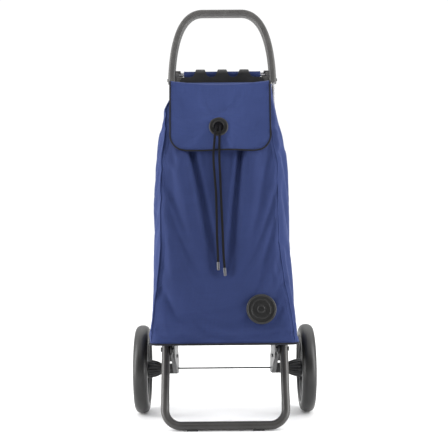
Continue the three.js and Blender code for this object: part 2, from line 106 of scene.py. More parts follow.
def front_y(z):
    return BAG_LOW.y + (z - BAG_BOTTOM) * FRONT_LEAN


def back_y(z):
    return rail_y(z) - 0.012


def smoothstep(value, low, high):
    t = min(max((value - low) / (high - low), 0.0), 1.0)
    return t * t * (3 - 2 * t)


def bag_width(z):
    return 0.330 - 0.027 * (z - BAG_BOTTOM) / 0.415 - 0.038 * smoothstep(z, 0.610, 0.790)


# ---- camera, floor and light ----

LENS, SENSOR = 77.4, 36
CAMERA_AT = (-0.015, AXLE_Y - 2.44, 0.475)
CAMERA_YAW, CAMERA_ROLL = math.radians(-0.38), math.radians(-0.45)


def new_object(name, data):
    """An object holding the data, linked into the scene."""
    thing = bpy.data.objects.new(name, data)
    bpy.context.scene.collection.objects.link(thing)
    return thing


def add_camera():
    data = bpy.data.cameras.new("view_camera")
    data.lens = LENS
    data.sensor_width = SENSOR
    data.clip_end = 50
    camera = new_object("view_camera", data)
    turn = Euler((math.pi / 2, 0, CAMERA_YAW)).to_matrix()
    tilt = Matrix.Rotation(CAMERA_ROLL, 3, "Z")
    camera.matrix_world = Matrix.Translation(CAMERA_AT) @ (turn @ tilt).to_4x4()
    bpy.context.scene.camera = camera


def add_light(name, place, aim, size, power):
    data = bpy.data.lights.new(name, "AREA")
    data.shape = "RECTANGLE"
    data.size, data.size_y = size
    data.energy = power
    lamp = new_object(name, data)
    lamp.location = place
    lamp.rotation_euler = (Vector(aim) - Vector(place)).to_track_quat("-Z", "Y").to_euler()


def add_studio():
    """A white room that is bright behind and dim in front, two softboxes and a wide overhead light."""
    scene = bpy.context.scene
    scene.view_settings.view_transform = "Standard"
    scene.view_settings.look = "None"
    world = bpy.data.worlds.new("studio")
    world.use_nodes = True
    tree = world.node_tree
    place = tree.nodes.new("ShaderNodeTexCoord")
    axes = tree.nodes.new("ShaderNodeSeparateXYZ")
    depth = tree.nodes.new("ShaderNodeMapRange")
    depth.interpolation_type = "SMOOTHSTEP"
    for key, value in {"From Min": -0.7, "From Max": 0.6, "To Min": 0.07, "To Max": 1.05}.items():
        depth.inputs[key].default_value = value
    tree.links.new(place.outputs["Generated"], axes.inputs[0])
    tree.links.new(axes.outputs["Y"], depth.inputs["Value"])
    rays = tree.nodes.new("ShaderNodeLightPath")
    shown = tree.nodes.new("ShaderNodeMath")
    shown.operation = "MAXIMUM"
    tree.links.new(depth.outputs["Result"], shown.inputs[0])
    tree.links.new(rays.outputs["Is Camera Ray"], shown.inputs[1])
    tree.links.new(shown.outputs[0], tree.nodes["Background"].inputs["Strength"])
    tree.nodes["Background"].inputs["Color"].default_value = (1, 1, 1, 1)
    scene.world = world
    add_light("left_softbox", (-1.7, -0.45, 0.8), (0, 0, 0.45), (0.9, 1.9), 46)
    add_light("right_softbox", (1.7, -0.6, 0.8), (0, 0, 0.45), (0.9, 1.9), 42)
    sky = bpy.data.lights.new("overhead", "SUN")
    sky.energy = 2.3
    sky.angle = math.radians(100)
    new_object("overhead", sky)
    deselect()
    bpy.ops.mesh.primitive_plane_add(size=30, location=(0, 0, 0))
    floor = bpy.context.object
    floor.name = "studio_floor"
    paint = Finish("pale_floor", roughness=0.6)
    paint.feed("Base Color", paint.speckle((0.955, 0.955, 0.955), (0.975, 0.975, 0.975), 3))
    floor.data.materials.append(paint.material)


# ---- finishes ----

class Value:
    """A shader value that Python expressions can use."""

    def __init__(self, finish, socket):
        self.finish = finish
        self.socket = socket

    def __add__(self, other):
        return self.finish.maths("ADD", self, other)

    __radd__ = __add__

    def __sub__(self, other):
        return self.finish.maths("SUBTRACT", self, other)

    def __rsub__(self, other):
        return self.finish.maths("SUBTRACT", other, self)

    def __mul__(self, other):
        return self.finish.maths("MULTIPLY", self, other)

    __rmul__ = __mul__


class Finish:
    """One material: a shader with constant values, and the nodes that vary it."""

    def __init__(self, name, **constants):
        self.material = bpy.data.materials.new(name)
        self.material.use_nodes = True
        self.tree = self.material.node_tree
        self.shader = self.tree.nodes["Principled BSDF"]
        for socket, value in constants.items():
            label = socket.replace("_", " ").title().replace("Ior", "IOR")
            self.shader.inputs[label].default_value = value

    def node(self, kind, sockets=None, output=0, **settings):
        node = self.tree.nodes.new(kind)
        for key, value in settings.items():
            setattr(node, key, value)
        for key, value in (sockets or {}).items():
            if isinstance(value, Value):
                self.tree.links.new(value.socket, node.inputs[key])
            else:
                node.inputs[key].default_value = value
        return Value(self, node.outputs[output])

    def maths(self, operation, first, second=0.0):
        return self.node("ShaderNodeMath", {0: first, 1: second}, operation=operation)

    def feed(self, socket, value):
        self.tree.links.new(value.socket, self.shader.inputs[socket])

    def place(self):
        return self.node("ShaderNodeTexCoord", output="Object")

    def stretched(self, source, scale):
        return self.node("ShaderNodeMapping", {"Vector": source, "Scale": scale})

    def grain(self, scale, detail=3.0, source=None, roughness=0.55):
        sockets = {"Vector": source or self.place(), "Scale": scale, "Detail": detail, "Roughness": roughness}
        return self.node("ShaderNodeTexNoise", sockets)

    def blend(self, factor, first, second):
        """Mixes two colours; the node's colour sockets are its sixth and seventh."""
        return self.node("ShaderNodeMix", {0: factor, 6: first, 7: second}, output=2, data_type="RGBA")

    def speckle(self, dark, light, scale, detail=3.0, source=None):
        spread = self.grain(scale, detail, source)
        steep = self.node("ShaderNodeMapRange", {0: spread, 1: 0.3, 2: 0.7, 3: 0.0, 4: 1.0})
        return self.blend(steep, (*dark, 1), (*light, 1))

    def bump(self, height, strength=0.3, distance=0.0005):
        sockets = {"Height": height, "Strength": strength, "Distance": distance}
        self.feed("Normal", self.node("ShaderNodeBump", sockets))


def moulded(name, dark, light, roughness, texture=0.25, pitch=900):
    """Injection-moulded plastic with a fine spark texture."""
    paint = Finish(name)
    paint.feed("Base Color", paint.speckle(dark, light, 35))
    fine = paint.grain(pitch, 2.0)
    paint.feed("Roughness", roughness - 0.06 + 0.12 * paint.grain(60))
    paint.bump(fine, texture, 0.00015)
    return paint.material


def metal(name, dark, light, roughness, stretch, metallic=1.0):
    """Metal with fine drawn lines along one axis."""
    paint = Finish(name, metallic=metallic)
    lines = paint.grain(40, 4.0, paint.stretched(paint.place(), stretch))
    paint.feed("Base Color", paint.blend(lines, (*dark, 1), (*light, 1)))
    paint.feed("Roughness", roughness - 0.1 + 0.2 * lines)
    paint.bump(lines, 0.08, 0.0001)
    return paint.material


def powder_coat(name, dark, light, roughness=0.38):
    """Powder-coated tube: a faint orange peel under a satin skin."""
    paint = Finish(name)
    peel = paint.grain(420, 1.5)
    paint.feed("Base Color", paint.speckle(dark, light, 25))
    paint.feed("Roughness", roughness + 0.1 * (paint.grain(30) - 0.5))
    paint.bump(peel, 0.22, 0.0003)
    return paint.material


def foam_rubber(name):
    """The tyre's foamed rubber: matte, with fine pores and dusty patches."""
    paint = Finish(name)
    dust = paint.grain(18, 5.0)
    pores = paint.node("ShaderNodeTexVoronoi", {"Vector": paint.place(), "Scale": 700.0})
    paint.feed("Base Color", paint.blend(dust, (0.006, 0.006, 0.0058, 1), (0.014, 0.0137, 0.0133, 1)))
    paint.feed("Roughness", 0.30 + 0.2 * dust)
    paint.bump(pores, 0.3, 0.00025)
    return paint.material


def woven(name, dark, light, thread=0.0009, fade=0.35):
    """Plain-weave cloth on the piece's own UV map, which is in metres."""
    paint = Finish(name, sheen_weight=0.12, sheen_roughness=0.4, specular_ior_level=0.16)
    paint.shader.inputs["Sheen Tint"].default_value = (0.4, 0.5, 0.95, 1)
    uv = paint.node("ShaderNodeUVMap", uv_map="UVMap")
    axes = paint.node("ShaderNodeSeparateXYZ", {0: uv})
    along = Value(paint, axes.socket.node.outputs[0])
    up = Value(paint, axes.socket.node.outputs[1])
    turns = math.pi / thread
    across = paint.maths("SINE", along * turns)
    over = paint.maths("SINE", up * turns)
    weave = across * over
    warp = paint.grain(1.0, 3.0, paint.stretched(uv, (1 / thread, 14, 1)))
    weft = paint.grain(1.0, 3.0, paint.stretched(uv, (14, 1 / thread, 1)))
    threads = 0.5 * (warp + weft)
    blotch = paint.grain(9.0, 4.0)
    # The weave's checker also lightens the colour where the yarn crossings rise: a painted highlight on the
    # raised yarn.
    shade = 0.5 * threads + fade * blotch + 0.12 * weave
    spread = paint.node("ShaderNodeMapRange", {0: shade, 1: 0.22, 2: 0.62, 3: 0.0, 4: 1.0})
    paint.feed("Base Color", paint.blend(spread, (*dark, 1), (*light, 1)))
    paint.feed("Roughness", 0.72 + 0.2 * threads)
    creased = 0.5 * weave + 0.9 * threads + 1.2 * paint.grain(55, 3.0)
    paint.bump(creased, 0.35, 0.0005)
    return paint.material


def braided(name, diameter):
    """A braided cord: two sets of strands crossing, on a UV map in turns and metres."""
    paint = Finish(name, specular_ior_level=0.12)
    axes = paint.node("ShaderNodeSeparateXYZ", {0: paint.node("ShaderNodeUVMap", uv_map="UVMap")})
    around = Value(paint, axes.socket.node.outputs[0]) * (8 * math.pi)
    along = Value(paint, axes.socket.node.outputs[1]) * (2 * math.pi / diameter)
    right = paint.maths("SINE", around + along)
    left = paint.maths("SINE", around - along)
    strands = paint.maths("MAXIMUM", right, left)
    lift = paint.node("ShaderNodeMapRange", {0: strands, 1: -0.4, 2: 1.0, 3: 0.0, 4: 1.0})
    # The colour follows the strands' relief, darker in the grooves and lighter on the tops: painted shade and
    # painted highlight on the braid.
    paint.feed("Base Color", paint.blend(lift, (0.001, 0.001, 0.0015, 1), (0.009, 0.009, 0.011, 1)))
    paint.feed("Roughness", 0.9 - 0.2 * lift)
    paint.bump(lift, 0.7, 0.0006)
    return paint.material


def make_finishes():
    navy_dark, navy_light = (0.014, 0.023, 0.076), (0.028, 0.043, 0.132)
    # The lit cloth is the same navy fabric painted lighter, and the navy cloth is the darker copy: painted
    # light where the flap faces the overhead light, and painted shade on the bag below it.
    lit_navy_dark, lit_navy_light = (0.021, 0.034, 0.108), (0.038, 0.058, 0.172)
    return {
        "navy_cloth": woven("navy_cloth", navy_dark, navy_light),
        "lit_navy_cloth": woven("lit_navy_cloth", lit_navy_dark, lit_navy_light),
        "navy_thread": woven("navy_thread", (0.035, 0.055, 0.16), (0.06, 0.085, 0.23), 0.0004),
        "black_tape": woven("black_tape", (0.005, 0.005, 0.006), (0.016, 0.016, 0.02), 0.0006),
        "braid": braided("black_braid", 0.0054),
        "handle_grey": moulded("handle_grey", (0.056, 0.054, 0.052), (0.076, 0.074, 0.071), 0.44),
        "black_plastic": moulded("black_plastic", (0.006, 0.006, 0.0065), (0.014, 0.014, 0.015), 0.45),
        "badge_black": moulded("badge_black", (0.005, 0.005, 0.005), (0.010, 0.010, 0.010), 0.38, 0.1),
        "lever_grey": moulded("lever_grey", (0.020, 0.020, 0.021), (0.034, 0.034, 0.035), 0.36),
        "rim_plastic": moulded("rim_plastic", (0.035, 0.035, 0.035), (0.055, 0.055, 0.055), 0.5),
        "leg_coat": powder_coat("leg_coat", (0.030, 0.028, 0.026), (0.042, 0.040, 0.038)),
        "rail_aluminium": metal("rail_aluminium", (0.28, 0.28, 0.29), (0.42, 0.42, 0.44), 0.38, (60, 60, 1)),
        "bright_steel": metal("bright_steel", (0.42, 0.42, 0.43), (0.6, 0.6, 0.61), 0.3, (4, 60, 60)),
        "dark_steel": metal("dark_steel", (0.06, 0.06, 0.06), (0.11, 0.11, 0.11), 0.42, (2, 60, 60)),
        "tip_metal": metal("tip_metal", (0.07, 0.07, 0.073), (0.17, 0.17, 0.18), 0.3, (60, 60, 3)),
        "foam_rubber": foam_rubber("foam_rubber"),
    }


# ---- making and joining meshes ----

def deselect():
    if bpy.context.object and bpy.context.object.mode != "OBJECT":
        bpy.ops.object.mode_set(mode="OBJECT")
    bpy.ops.object.select_all(action="DESELECT")


def pick(piece):
    deselect()
    piece.select_set(True)
    bpy.context.view_layer.objects.active = piece


def apply_modifiers(piece):
    pick(piece)
    for modifier in list(piece.modifiers):
        bpy.ops.object.modifier_apply(modifier=modifier.name)


def modify(piece, kind, **settings):
    """Adds a modifier of a kind and applies it."""
    modifier = piece.modifiers.new(kind.lower(), kind)
    for key, value in settings.items():
        setattr(modifier, key, value)
    apply_modifiers(piece)


def settle(piece):
    """Puts the piece's place into its mesh."""
    pick(piece)
    bpy.ops.object.transform_apply(location=True, rotation=True, scale=True)


def smooth(piece, angle=35):
    pick(piece)
    bpy.ops.object.shade_smooth_by_angle(angle=math.radians(angle))


def finish_piece(piece, material, body, nodes=()):
    piece.data.materials.clear()
    piece.data.materials.append(FINISHES[material])
    if body:
        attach(piece, body)
    if nodes:
        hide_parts(*nodes)
    return piece


def mesh_piece(name, points, faces, uvs=None):
    data = bpy.data.meshes.new(name)
    data.from_pydata([tuple(point) for point in points], [], faces)
    if uvs is not None:
        layer = data.uv_layers.new(name="UVMap")
        for loop in data.loops:
            layer.data[loop.index].uv = uvs[loop.index]
    data.update()
    piece = new_object(name, data)
    for polygon in data.polygons:
        polygon.use_smooth = True
    return piece


def grid_piece(name, rows, uv_rows, ring=False):
    """A sheet through rows of points. A ring's rows close on themselves."""
    count = len(rows[0])
    columns = count if ring else count - 1
    points = [point for row in rows for point in row]
    faces, uvs = [], []
    for j in range(len(rows) - 1):
        for i in range(columns):
            k = (i + 1) % count
            faces.append((j * count + i, j * count + k, (j + 1) * count + k, (j + 1) * count + i))
            uvs += [uv_rows[j][i], uv_rows[j][i + 1], uv_rows[j + 1][i + 1], uv_rows[j + 1][i]]
    return mesh_piece(name, points, faces, uvs)


def poly_curve(name, points, dimensions):
    """Curve data with straight steps through the points."""
    data = bpy.data.curves.new(name, "CURVE")
    data.dimensions = dimensions
    spline = data.splines.new("POLY")
    spline.points.add(len(points) - 1)
    for target, point in zip(spline.points, points):
        target.co = (*point, 1)
    return data


def bent_tube(name, points, radius, section=None, sides=8):
    """A tube through the points, made as a curve and turned into a mesh, round or with a section."""
    data = poly_curve(name, points, "3D")
    data.use_fill_caps = True
    if section:
        data.bevel_mode = "OBJECT"
        data.bevel_object = section
    else:
        data.bevel_depth = radius
        data.bevel_resolution = sides
    piece = new_object(name, data)
    pick(piece)
    bpy.ops.object.convert(target="MESH")
    piece = bpy.context.object
    weld(piece)
    smooth(piece, 50)
    return piece


def open_mesh(piece, action="SELECT"):
    """Edit mode on one piece, with all or none of its mesh selected."""
    pick(piece)
    bpy.ops.object.mode_set(mode="EDIT")
    bpy.ops.mesh.select_all(action=action)


def close_mesh():
    bpy.ops.object.mode_set(mode="OBJECT")


def block(name, middle, size):
    """A box with its place and size in its mesh."""
    deselect()
    bpy.ops.mesh.primitive_cube_add(size=1, location=middle, scale=size)
    piece = bpy.context.object
    settle(piece)
    piece.name = name
    return piece


def weld(piece, distance=1e-5):
    """Joins points that lie together and turns all faces outwards."""
    open_mesh(piece)
    bpy.ops.mesh.remove_doubles(threshold=distance)
    bpy.ops.mesh.normals_make_consistent(inside=False)
    close_mesh()


def oval_outline(name, width, depth, power=2.6, count=40):
    """A closed curve to sweep: an oval with fuller corners."""
    points = []
    for i in range(count):
        angle = 2 * math.pi * i / count
        c, s = math.cos(angle), math.sin(angle)
        x = math.copysign(abs(c) ** (2 / power), c) * width / 2
        y = math.copysign(abs(s) ** (2 / power), s) * depth / 2
        points.append((x, y, 0))
    data = poly_curve(name, points, "2D")
    data.splines[0].use_cyclic_u = True
    return new_object(name, data)


def remove(*pieces):
    for piece in pieces:
        bpy.data.objects.remove(piece, do_unlink=True)


def fused(name, *pieces):
    """Several meshes made one object."""
    pick(pieces[0])
    for piece in pieces:
        piece.select_set(True)
    if len(pieces) > 1:
        bpy.ops.object.join()
    pieces[0].name = name
    pieces[0].data.name = name
    return pieces[0]


def turned(name, side, profile, y, z, steps=96, angle=35):
    """A turned piece about a line along X: the profile is (distance outwards, radius)."""
    data = bpy.data.meshes.new(name)
    points = [(side * out, 0, radius) for out, radius in profile]
    data.from_pydata(points, [(i, i + 1) for i in range(len(points) - 1)], [])
    piece = new_object(name, data)
    open_mesh(piece)
    bpy.ops.mesh.spin(steps=steps, angle=2 * math.pi, center=(0, 0, 0), axis=(1, 0, 0))
    close_mesh()
    weld(piece, 1e-6)
    piece.location = (0, y, z)
    settle(piece)
    smooth(piece, angle)
    return piece


def arc_profile(points, radius=0.0008, steps=3):
    """A profile whose inner corners are rounded by a small radius."""
    rounded = [Vector(points[0])]
    for before, corner, after in zip(points, points[1:], points[2:]):
        corner = Vector(corner)
        back, ahead = Vector(before) - corner, Vector(after) - corner
        reach = min(radius, back.length * 0.45, ahead.length * 0.45)
        start, end = corner + back.normalized() * reach, corner + ahead.normalized() * reach
        for step in range(steps + 1):
            t = step / steps
            rounded.append(start * (1 - t) ** 2 + corner * 2 * t * (1 - t) + end * t ** 2)
    rounded.append(Vector(points[-1]))
    return rounded


def tooled_copy(node, bevel=0.0005, segments=2, angle=30):
    """A CAD node's shape with its flat faces made whole and its edges rounded."""
    source = frame["nodes"][node]
    piece = new_object(f"{node}_shaped", source.data.copy())
    weld(piece, 2e-6)
    open_mesh(piece)
    bpy.ops.mesh.dissolve_limited(angle_limit=math.radians(1.0))
    close_mesh()
    modify(piece, "BEVEL", width=bevel, segments=segments, limit_method="ANGLE",
           angle_limit=math.radians(angle), use_clamp_overlap=True)
    smooth(piece, angle)
    return piece


def dress(node, material, bevel=0.0005, segments=2):
    """A CAD node shown as a tooled copy in its own finish."""
    body = frame["nodes"][node]["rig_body"]
    return finish_piece(tooled_copy(node, bevel, segments), material, body, [node])


# ---- drawcords, first of the pieces ----

# Each cord's stops down the bag's front: x, z and the distance out of it, in millimetres.
CORD_ROUTES = {
    "left": [(-15, 702, 2.8), (-15.5, 701.5, 7), (-17, 698, 11), (-18.5, 690, 12.2), (-21.5, 660, 8.6),
             (-23, 640, 8.2), (-23, 618, 5), (-20.5, 580, 4.2), (-18, 542, 4.2), (-17, 491, 4.2),
             (-16.5, 443, 4.2), (-14.8, 404, 4.2), (-14.5, 389, 4.2)],
    "right": [(-7.5, 702, 2.8), (-7.5, 701.5, 7), (-8, 698, 11), (-8.5, 690, 12.2), (-9.5, 660, 8.6),
              (-9.8, 640, 8.2), (-9.5, 618, 5), (-8, 580, 4.2), (-6.9, 542, 4.2), (-5, 491, 4.2),
              (-3.2, 443, 4.2), (-2, 404, 4.2), (0, 376, 4.2)],
}
CORD_RADIUS = 0.0027


def on_bag(x, z, out):
    """A point in front of the bag, from millimetres."""
    return Vector((x * MM, front_y(z * MM) - out * MM, z * MM))


def smooth_route(points, count):
    """Evenly spaced points along a centripetal spline through the given ones."""
    ends = [2 * points[0] - points[1], *points, 2 * points[-1] - points[-2]]
    fine = []
    for a, b, c, d in zip(ends, ends[1:], ends[2:], ends[3:]):
        knots = [0.0]
        for first, second in ((a, b), (b, c), (c, d)):
            knots.append(knots[-1] + (second - first).length ** 0.5)
        for step in range(12):
            t = knots[1] + (knots[2] - knots[1]) * step / 12
            share = lambda low, high: (t - knots[low]) / (knots[high] - knots[low])
            near = [a.lerp(b, share(0, 1)), b.lerp(c, share(1, 2)), c.lerp(d, share(2, 3))]
            middle = [near[0].lerp(near[1], share(0, 2)), near[1].lerp(near[2], share(1, 3))]
            fine.append(middle[0].lerp(middle[1], share(1, 2)))
    fine.append(points[-1])
    return evenly(fine, count)


def evenly(points, count):
    """The same line through count points at equal steps."""
    runs = [0.0]
    for first, second in zip(points, points[1:]):
        runs.append(runs[-1] + (second - first).length)
    coordinates = np.array([tuple(point) for point in points])
    places = np.linspace(0, runs[-1], count)
    columns = [np.interp(places, runs, coordinates[:, k]) for k in range(3)]
    return [Vector(row) for row in np.stack(columns, 1)]


def line_length(points):
    return sum((second - first).length for first, second in zip(points, points[1:]))


def swept(name, line, radii, sides=12):
    """A round tube with its own UV map: turns round it, and metres along it."""
    rows, uv_rows = [], []
    level = abs((line[1] - line[0]).normalized().x) > 0.7
    normal = Vector((0, 0, 1)) if level else Vector((1, 0, 0))
    run = 0.0
    for i, point in enumerate(line):
        ahead = (line[min(i + 1, len(line) - 1)] - line[max(i - 1, 0)]).normalized()
        normal = (normal - ahead * normal.dot(ahead)).normalized()
        other = ahead.cross(normal)
        run += (point - line[i - 1]).length if i else 0.0
        radius = radii[i] if isinstance(radii, list) else radii
        turns = [2 * math.pi * k / sides for k in range(sides)]
        rows.append([point + radius * (math.cos(t) * normal + math.sin(t) * other) for t in turns])
        uv_rows.append([(k / sides, run) for k in range(sides + 1)])
    piece = grid_piece(name, rows, uv_rows, ring=True)
    open_mesh(piece, "DESELECT")
    bpy.ops.mesh.select_mode(type="EDGE")
    bpy.ops.mesh.select_all(action="DESELECT")
    bpy.ops.mesh.select_non_manifold()
    bpy.ops.mesh.fill_holes(sides=0)
    bpy.ops.mesh.select_all(action="SELECT")
    bpy.ops.mesh.normals_make_consistent(inside=False)
    close_mesh()
    return piece


def add_drawcords():
    for name, route in CORD_ROUTES.items():
        line = smooth_route([on_bag(*stop) for stop in route], 140)
        cord = swept(f"drawcord_{name}_braid", line, CORD_RADIUS, 14)
        finish_piece(cord, "braid", "frame", [f"drawcord_{name}"])
        along = (line[-1] - line[-2]).normalized()
        tip = add_cord_tip(name, line[-1], along)
        tuple(line[0])
        line_length(line)
        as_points(line)


def add_cord_tip(name, start, along):
    """A crimped metal end: a ferrule with a rolled lip and two grooves."""
    shape = [(0.0, 2.9), (0.3, 3.2), (1.2, 3.35), (4.0, 3.35), (4.4, 2.95), (5.0, 2.95), (5.4, 3.35),
             (12.6, 3.35), (13.0, 2.95), (13.6, 2.95), (14.0, 3.35), (17.2, 3.3), (18.0, 2.6)]
    line = [start + along * (0.3 + reach) * MM for reach, _ in shape]
    tip = swept(f"cord_tip_{name}_ferrule", line, [radius * MM for _, radius in shape], 24)
    smooth(tip, 40)
    return finish_piece(tip, "tip_metal", "frame", [f"cord_tip_{name}"])


FINISHES = make_finishes()
add_camera()
add_studio()
add_drawcords()

# ---- bag ----

FRONT_STEPS, SIDE_STEPS, CORNER_STEPS, BAG_ROWS = 52, 44, 5, 104
CORNER = 0.024
CLOTH_THICK, BOARD_THICK, FLAP_THICK = 0.0014, 0.0026, 0.0022


def bag_ring(half_width, front, back):
    """Points round the bag at one height, from the back's middle by the left side to the front."""
    half_depth, middle = (back - front) / 2, (back + front) / 2
    radius = min(CORNER, 0.1 * half_width + 0.012)
    points = []
    for number, (cx, cy, steps) in enumerate([(-1, 1, FRONT_STEPS), (-1, -1, SIDE_STEPS),
                                              (1, -1, FRONT_STEPS), (1, 1, SIDE_STEPS)]):
        corner = Vector((cx * (half_width - radius), middle + cy * (half_depth - radius)))
        last = Vector((corner.x if number % 2 else -corner.x,
                       2 * middle - corner.y if number % 2 else corner.y))
        start_angle = math.pi / 2 + number * math.pi / 2
        offset = Vector((math.cos(start_angle), math.sin(start_angle))) * radius
        for step in range(steps):
            points.append(last.lerp(corner, step / steps) + offset)
        for step in range(CORNER_STEPS):
            angle = start_angle + math.pi / 2 * step / CORNER_STEPS
            points.append(corner + radius * Vector((math.cos(angle), math.sin(angle))))
    return points


def bag_rows():
    """Rows of points up the bag's wall, with UVs in metres."""
    rows, uv_rows = [], []
    for j in range(BAG_ROWS + 1):
        t = j / BAG_ROWS
        level = BAG_BOTTOM + t * (0.5 * (RIM_FRONT + RIM_BACK) - BAG_BOTTOM)
        ring = bag_ring(bag_width(level) / 2, front_y(level), back_y(level))
        row = []
        for flat in ring:
            share = (flat.y - front_y(level)) / (back_y(level) - front_y(level))
            rim = RIM_FRONT + (RIM_BACK - RIM_FRONT) * share
            z = BAG_BOTTOM + t * (rim - BAG_BOTTOM)
            y = front_y(z) + share * (back_y(z) - front_y(z))
            reach = bag_width(z) / bag_width(level)
            row.append(Vector((flat.x * reach, y, z)))
        run = 0.0
        uv = []
        for i in range(len(row) + 1):
            uv.append((run, row[i % len(row)].z))
            run += (row[(i + 1) % len(row)] - row[i % len(row)]).length
        rows.append(row)
        uv_rows.append(uv)
    return rows, uv_rows


def wall_at(point):
    """Which wall a place belongs to, by the nearest one."""
    half = bag_width(point.z) / 2
    gaps = {"front": point.y - front_y(point.z), "back": back_y(point.z) - point.y,
            "left": half + point.x, "right": half - point.x}
    return min(gaps, key=gaps.get)


def cord_gap(x, z):
    """How far a place on the front is from the nearest drawcord, in metres."""
    nearest = 1.0
    for route in CORD_ROUTES.values():
        heights = [stop[1] * MM for stop in route][::-1]
        places = [stop[0] * MM for stop in route][::-1]
        reach = abs(x - float(np.interp(z, heights, places)))
        below = max(0.0, 0.352 - z)
        nearest = min(nearest, math.hypot(reach, below))
    return nearest


BADGE_LOW, BADGE_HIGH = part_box("badge")
BADGE_AT = (BADGE_LOW + BADGE_HIGH) / 2
BADGE_RADIUS = (BADGE_HIGH.x - BADGE_LOW.x) / 2


def room_outwards(point, wall):
    """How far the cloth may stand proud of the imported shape."""
    if wall == "back":
        return 0.0005
    if wall in ("left", "right"):
        return 0.0150
    if point.z > FLAP_LOW.z - 0.008 and abs(point.x) < FLAP_HALF + 0.004:
        return 0.0002
    cords = 0.0008 + 0.012 * smoothstep(cord_gap(point.x, point.z), 0.008, 0.075)
    seat = math.hypot(point.x - BADGE_AT.x, point.z - BADGE_AT.z) - BADGE_RADIUS
    return min(cords, 0.0001 + 0.010 * smoothstep(seat, 0.002, 0.05), 0.007)


def wall_place(wall, across, z):
    """A place on a wall: across is x on the front, and y behind the front corner on a side."""
    if wall == "front":
        return Vector((across, front_y(z), z))
    side = SIDES[wall]
    return Vector((side * bag_width(z) / 2, front_y(z) + across, z))


# Each fold: wall, start (across, z), end (across, z), width, height. Valleys have negative heights.
FOLDS = [
    ("front", (-0.082, 0.665), (-0.017, 0.375), 0.0100, -0.0200),
    ("front", (-0.104, 0.640), (-0.046, 0.400), 0.0240, 0.0050),
    ("front", (0.047, 0.665), (0.010, 0.375), 0.0095, -0.0195),
    ("front", (0.078, 0.640), (0.050, 0.400), 0.0220, 0.0045),
    ("front", (0.112, 0.640), (0.085, 0.460), 0.0130, -0.0032),
    ("front", (-0.122, 0.600), (-0.090, 0.400), 0.0120, -0.0026),
    ("front", (0.150, 0.345), (0.030, 0.255), 0.0150, -0.0026),
    ("front", (-0.150, 0.330), (-0.050, 0.236), 0.0170, -0.0030),
    ("front", (-0.062, 0.214), (-0.094, 0.350), 0.0100, 0.0026),
    ("front", (0.016, 0.212), (-0.004, 0.300), 0.0090, 0.0022),
    ("front", (0.120, 0.214), (0.132, 0.290), 0.0090, 0.0024),
    ("front", (-0.120, 0.212), (-0.132, 0.270), 0.0080, 0.0020),
    ("front", (0.146, 0.560), (0.128, 0.360), 0.0090, 0.0035),
    ("front", (-0.143, 0.600), (-0.136, 0.300), 0.0090, 0.0040),
    ("left", (-0.004, 0.737), (0.045, 0.722), 0.0075, -0.0075),
    ("left", (-0.002, 0.699), (0.060, 0.706), 0.0070, -0.0065),
    ("left", (0.004, 0.600), (0.070, 0.640), 0.0110, -0.0045),
    ("left", (0.100, 0.800), (0.080, 0.560), 0.0150, -0.0100),
    ("left", (0.060, 0.500), (0.150, 0.330), 0.0200, -0.0060),
    ("left", (0.000, 0.545), (0.050, 0.500), 0.0120, -0.0035),
    ("right", (-0.004, 0.636), (0.050, 0.660), 0.0080, -0.0080),
    ("right", (0.000, 0.700), (0.060, 0.716), 0.0090, -0.0060),
    ("right", (0.100, 0.800), (0.085, 0.540), 0.0150, -0.0100),
    ("right", (0.050, 0.480), (0.150, 0.300), 0.0200, -0.0060),
    ("right", (0.000, 0.440), (0.060, 0.400), 0.0130, -0.0035),
]
# How far each side stands out or in at a height, from the weight of the cloth.
SIDE_SAG = {
    "left": ([0.21, 0.43, 0.53, 0.70, 0.745, 0.775, 0.84], [4.6, 7.0, 12.6, 13.0, 9.0, -3.0, -9.0]),
    "right": ([0.21, 0.32, 0.43, 0.53, 0.60, 0.69, 0.74, 0.775, 0.84],
              [1.6, -1.0, -3.0, -1.6, 0.8, 0.6, -8.5, -12.0, -13.0]),
}


def fold_height(folds, point):
    """The summed height of the folds at a place."""
    height = 0.0
    for start, end, width, tall in folds:
        t = min(max((point - start).dot(end - start) / (end - start).length_squared, 0.0), 1.0)
        distance = (point - start.lerp(end, t)).length
        if distance < 3 * width:
            taper = 1 - 0.55 * t
            height += tall * taper * math.exp(-((distance / (width * (0.7 + 0.6 * t))) ** 2))
    return height


def gusset_pull(point):
    """How much narrower the bag is at a place than at mid depth: the front seams sit inside the gussets."""
    deep = 0.0165 * smoothstep(point.z, 0.21, 0.46) * (1 - smoothstep(point.z, 0.67, 0.76))
    return 1 - deep * (1 - smoothstep(point.y - front_y(point.z), 0.004, 0.060)) / (bag_width(point.z) / 2)


def side_sag(point):
    """How far the sides' own hang moves a place along X."""
    reach = bag_width(point.z) / 2 - 0.004
    return sum(side * float(np.interp(point.z, *SIDE_SAG[name])) * smoothstep(side * point.x, 0.02, reach)
               for name, side in SIDES.items())


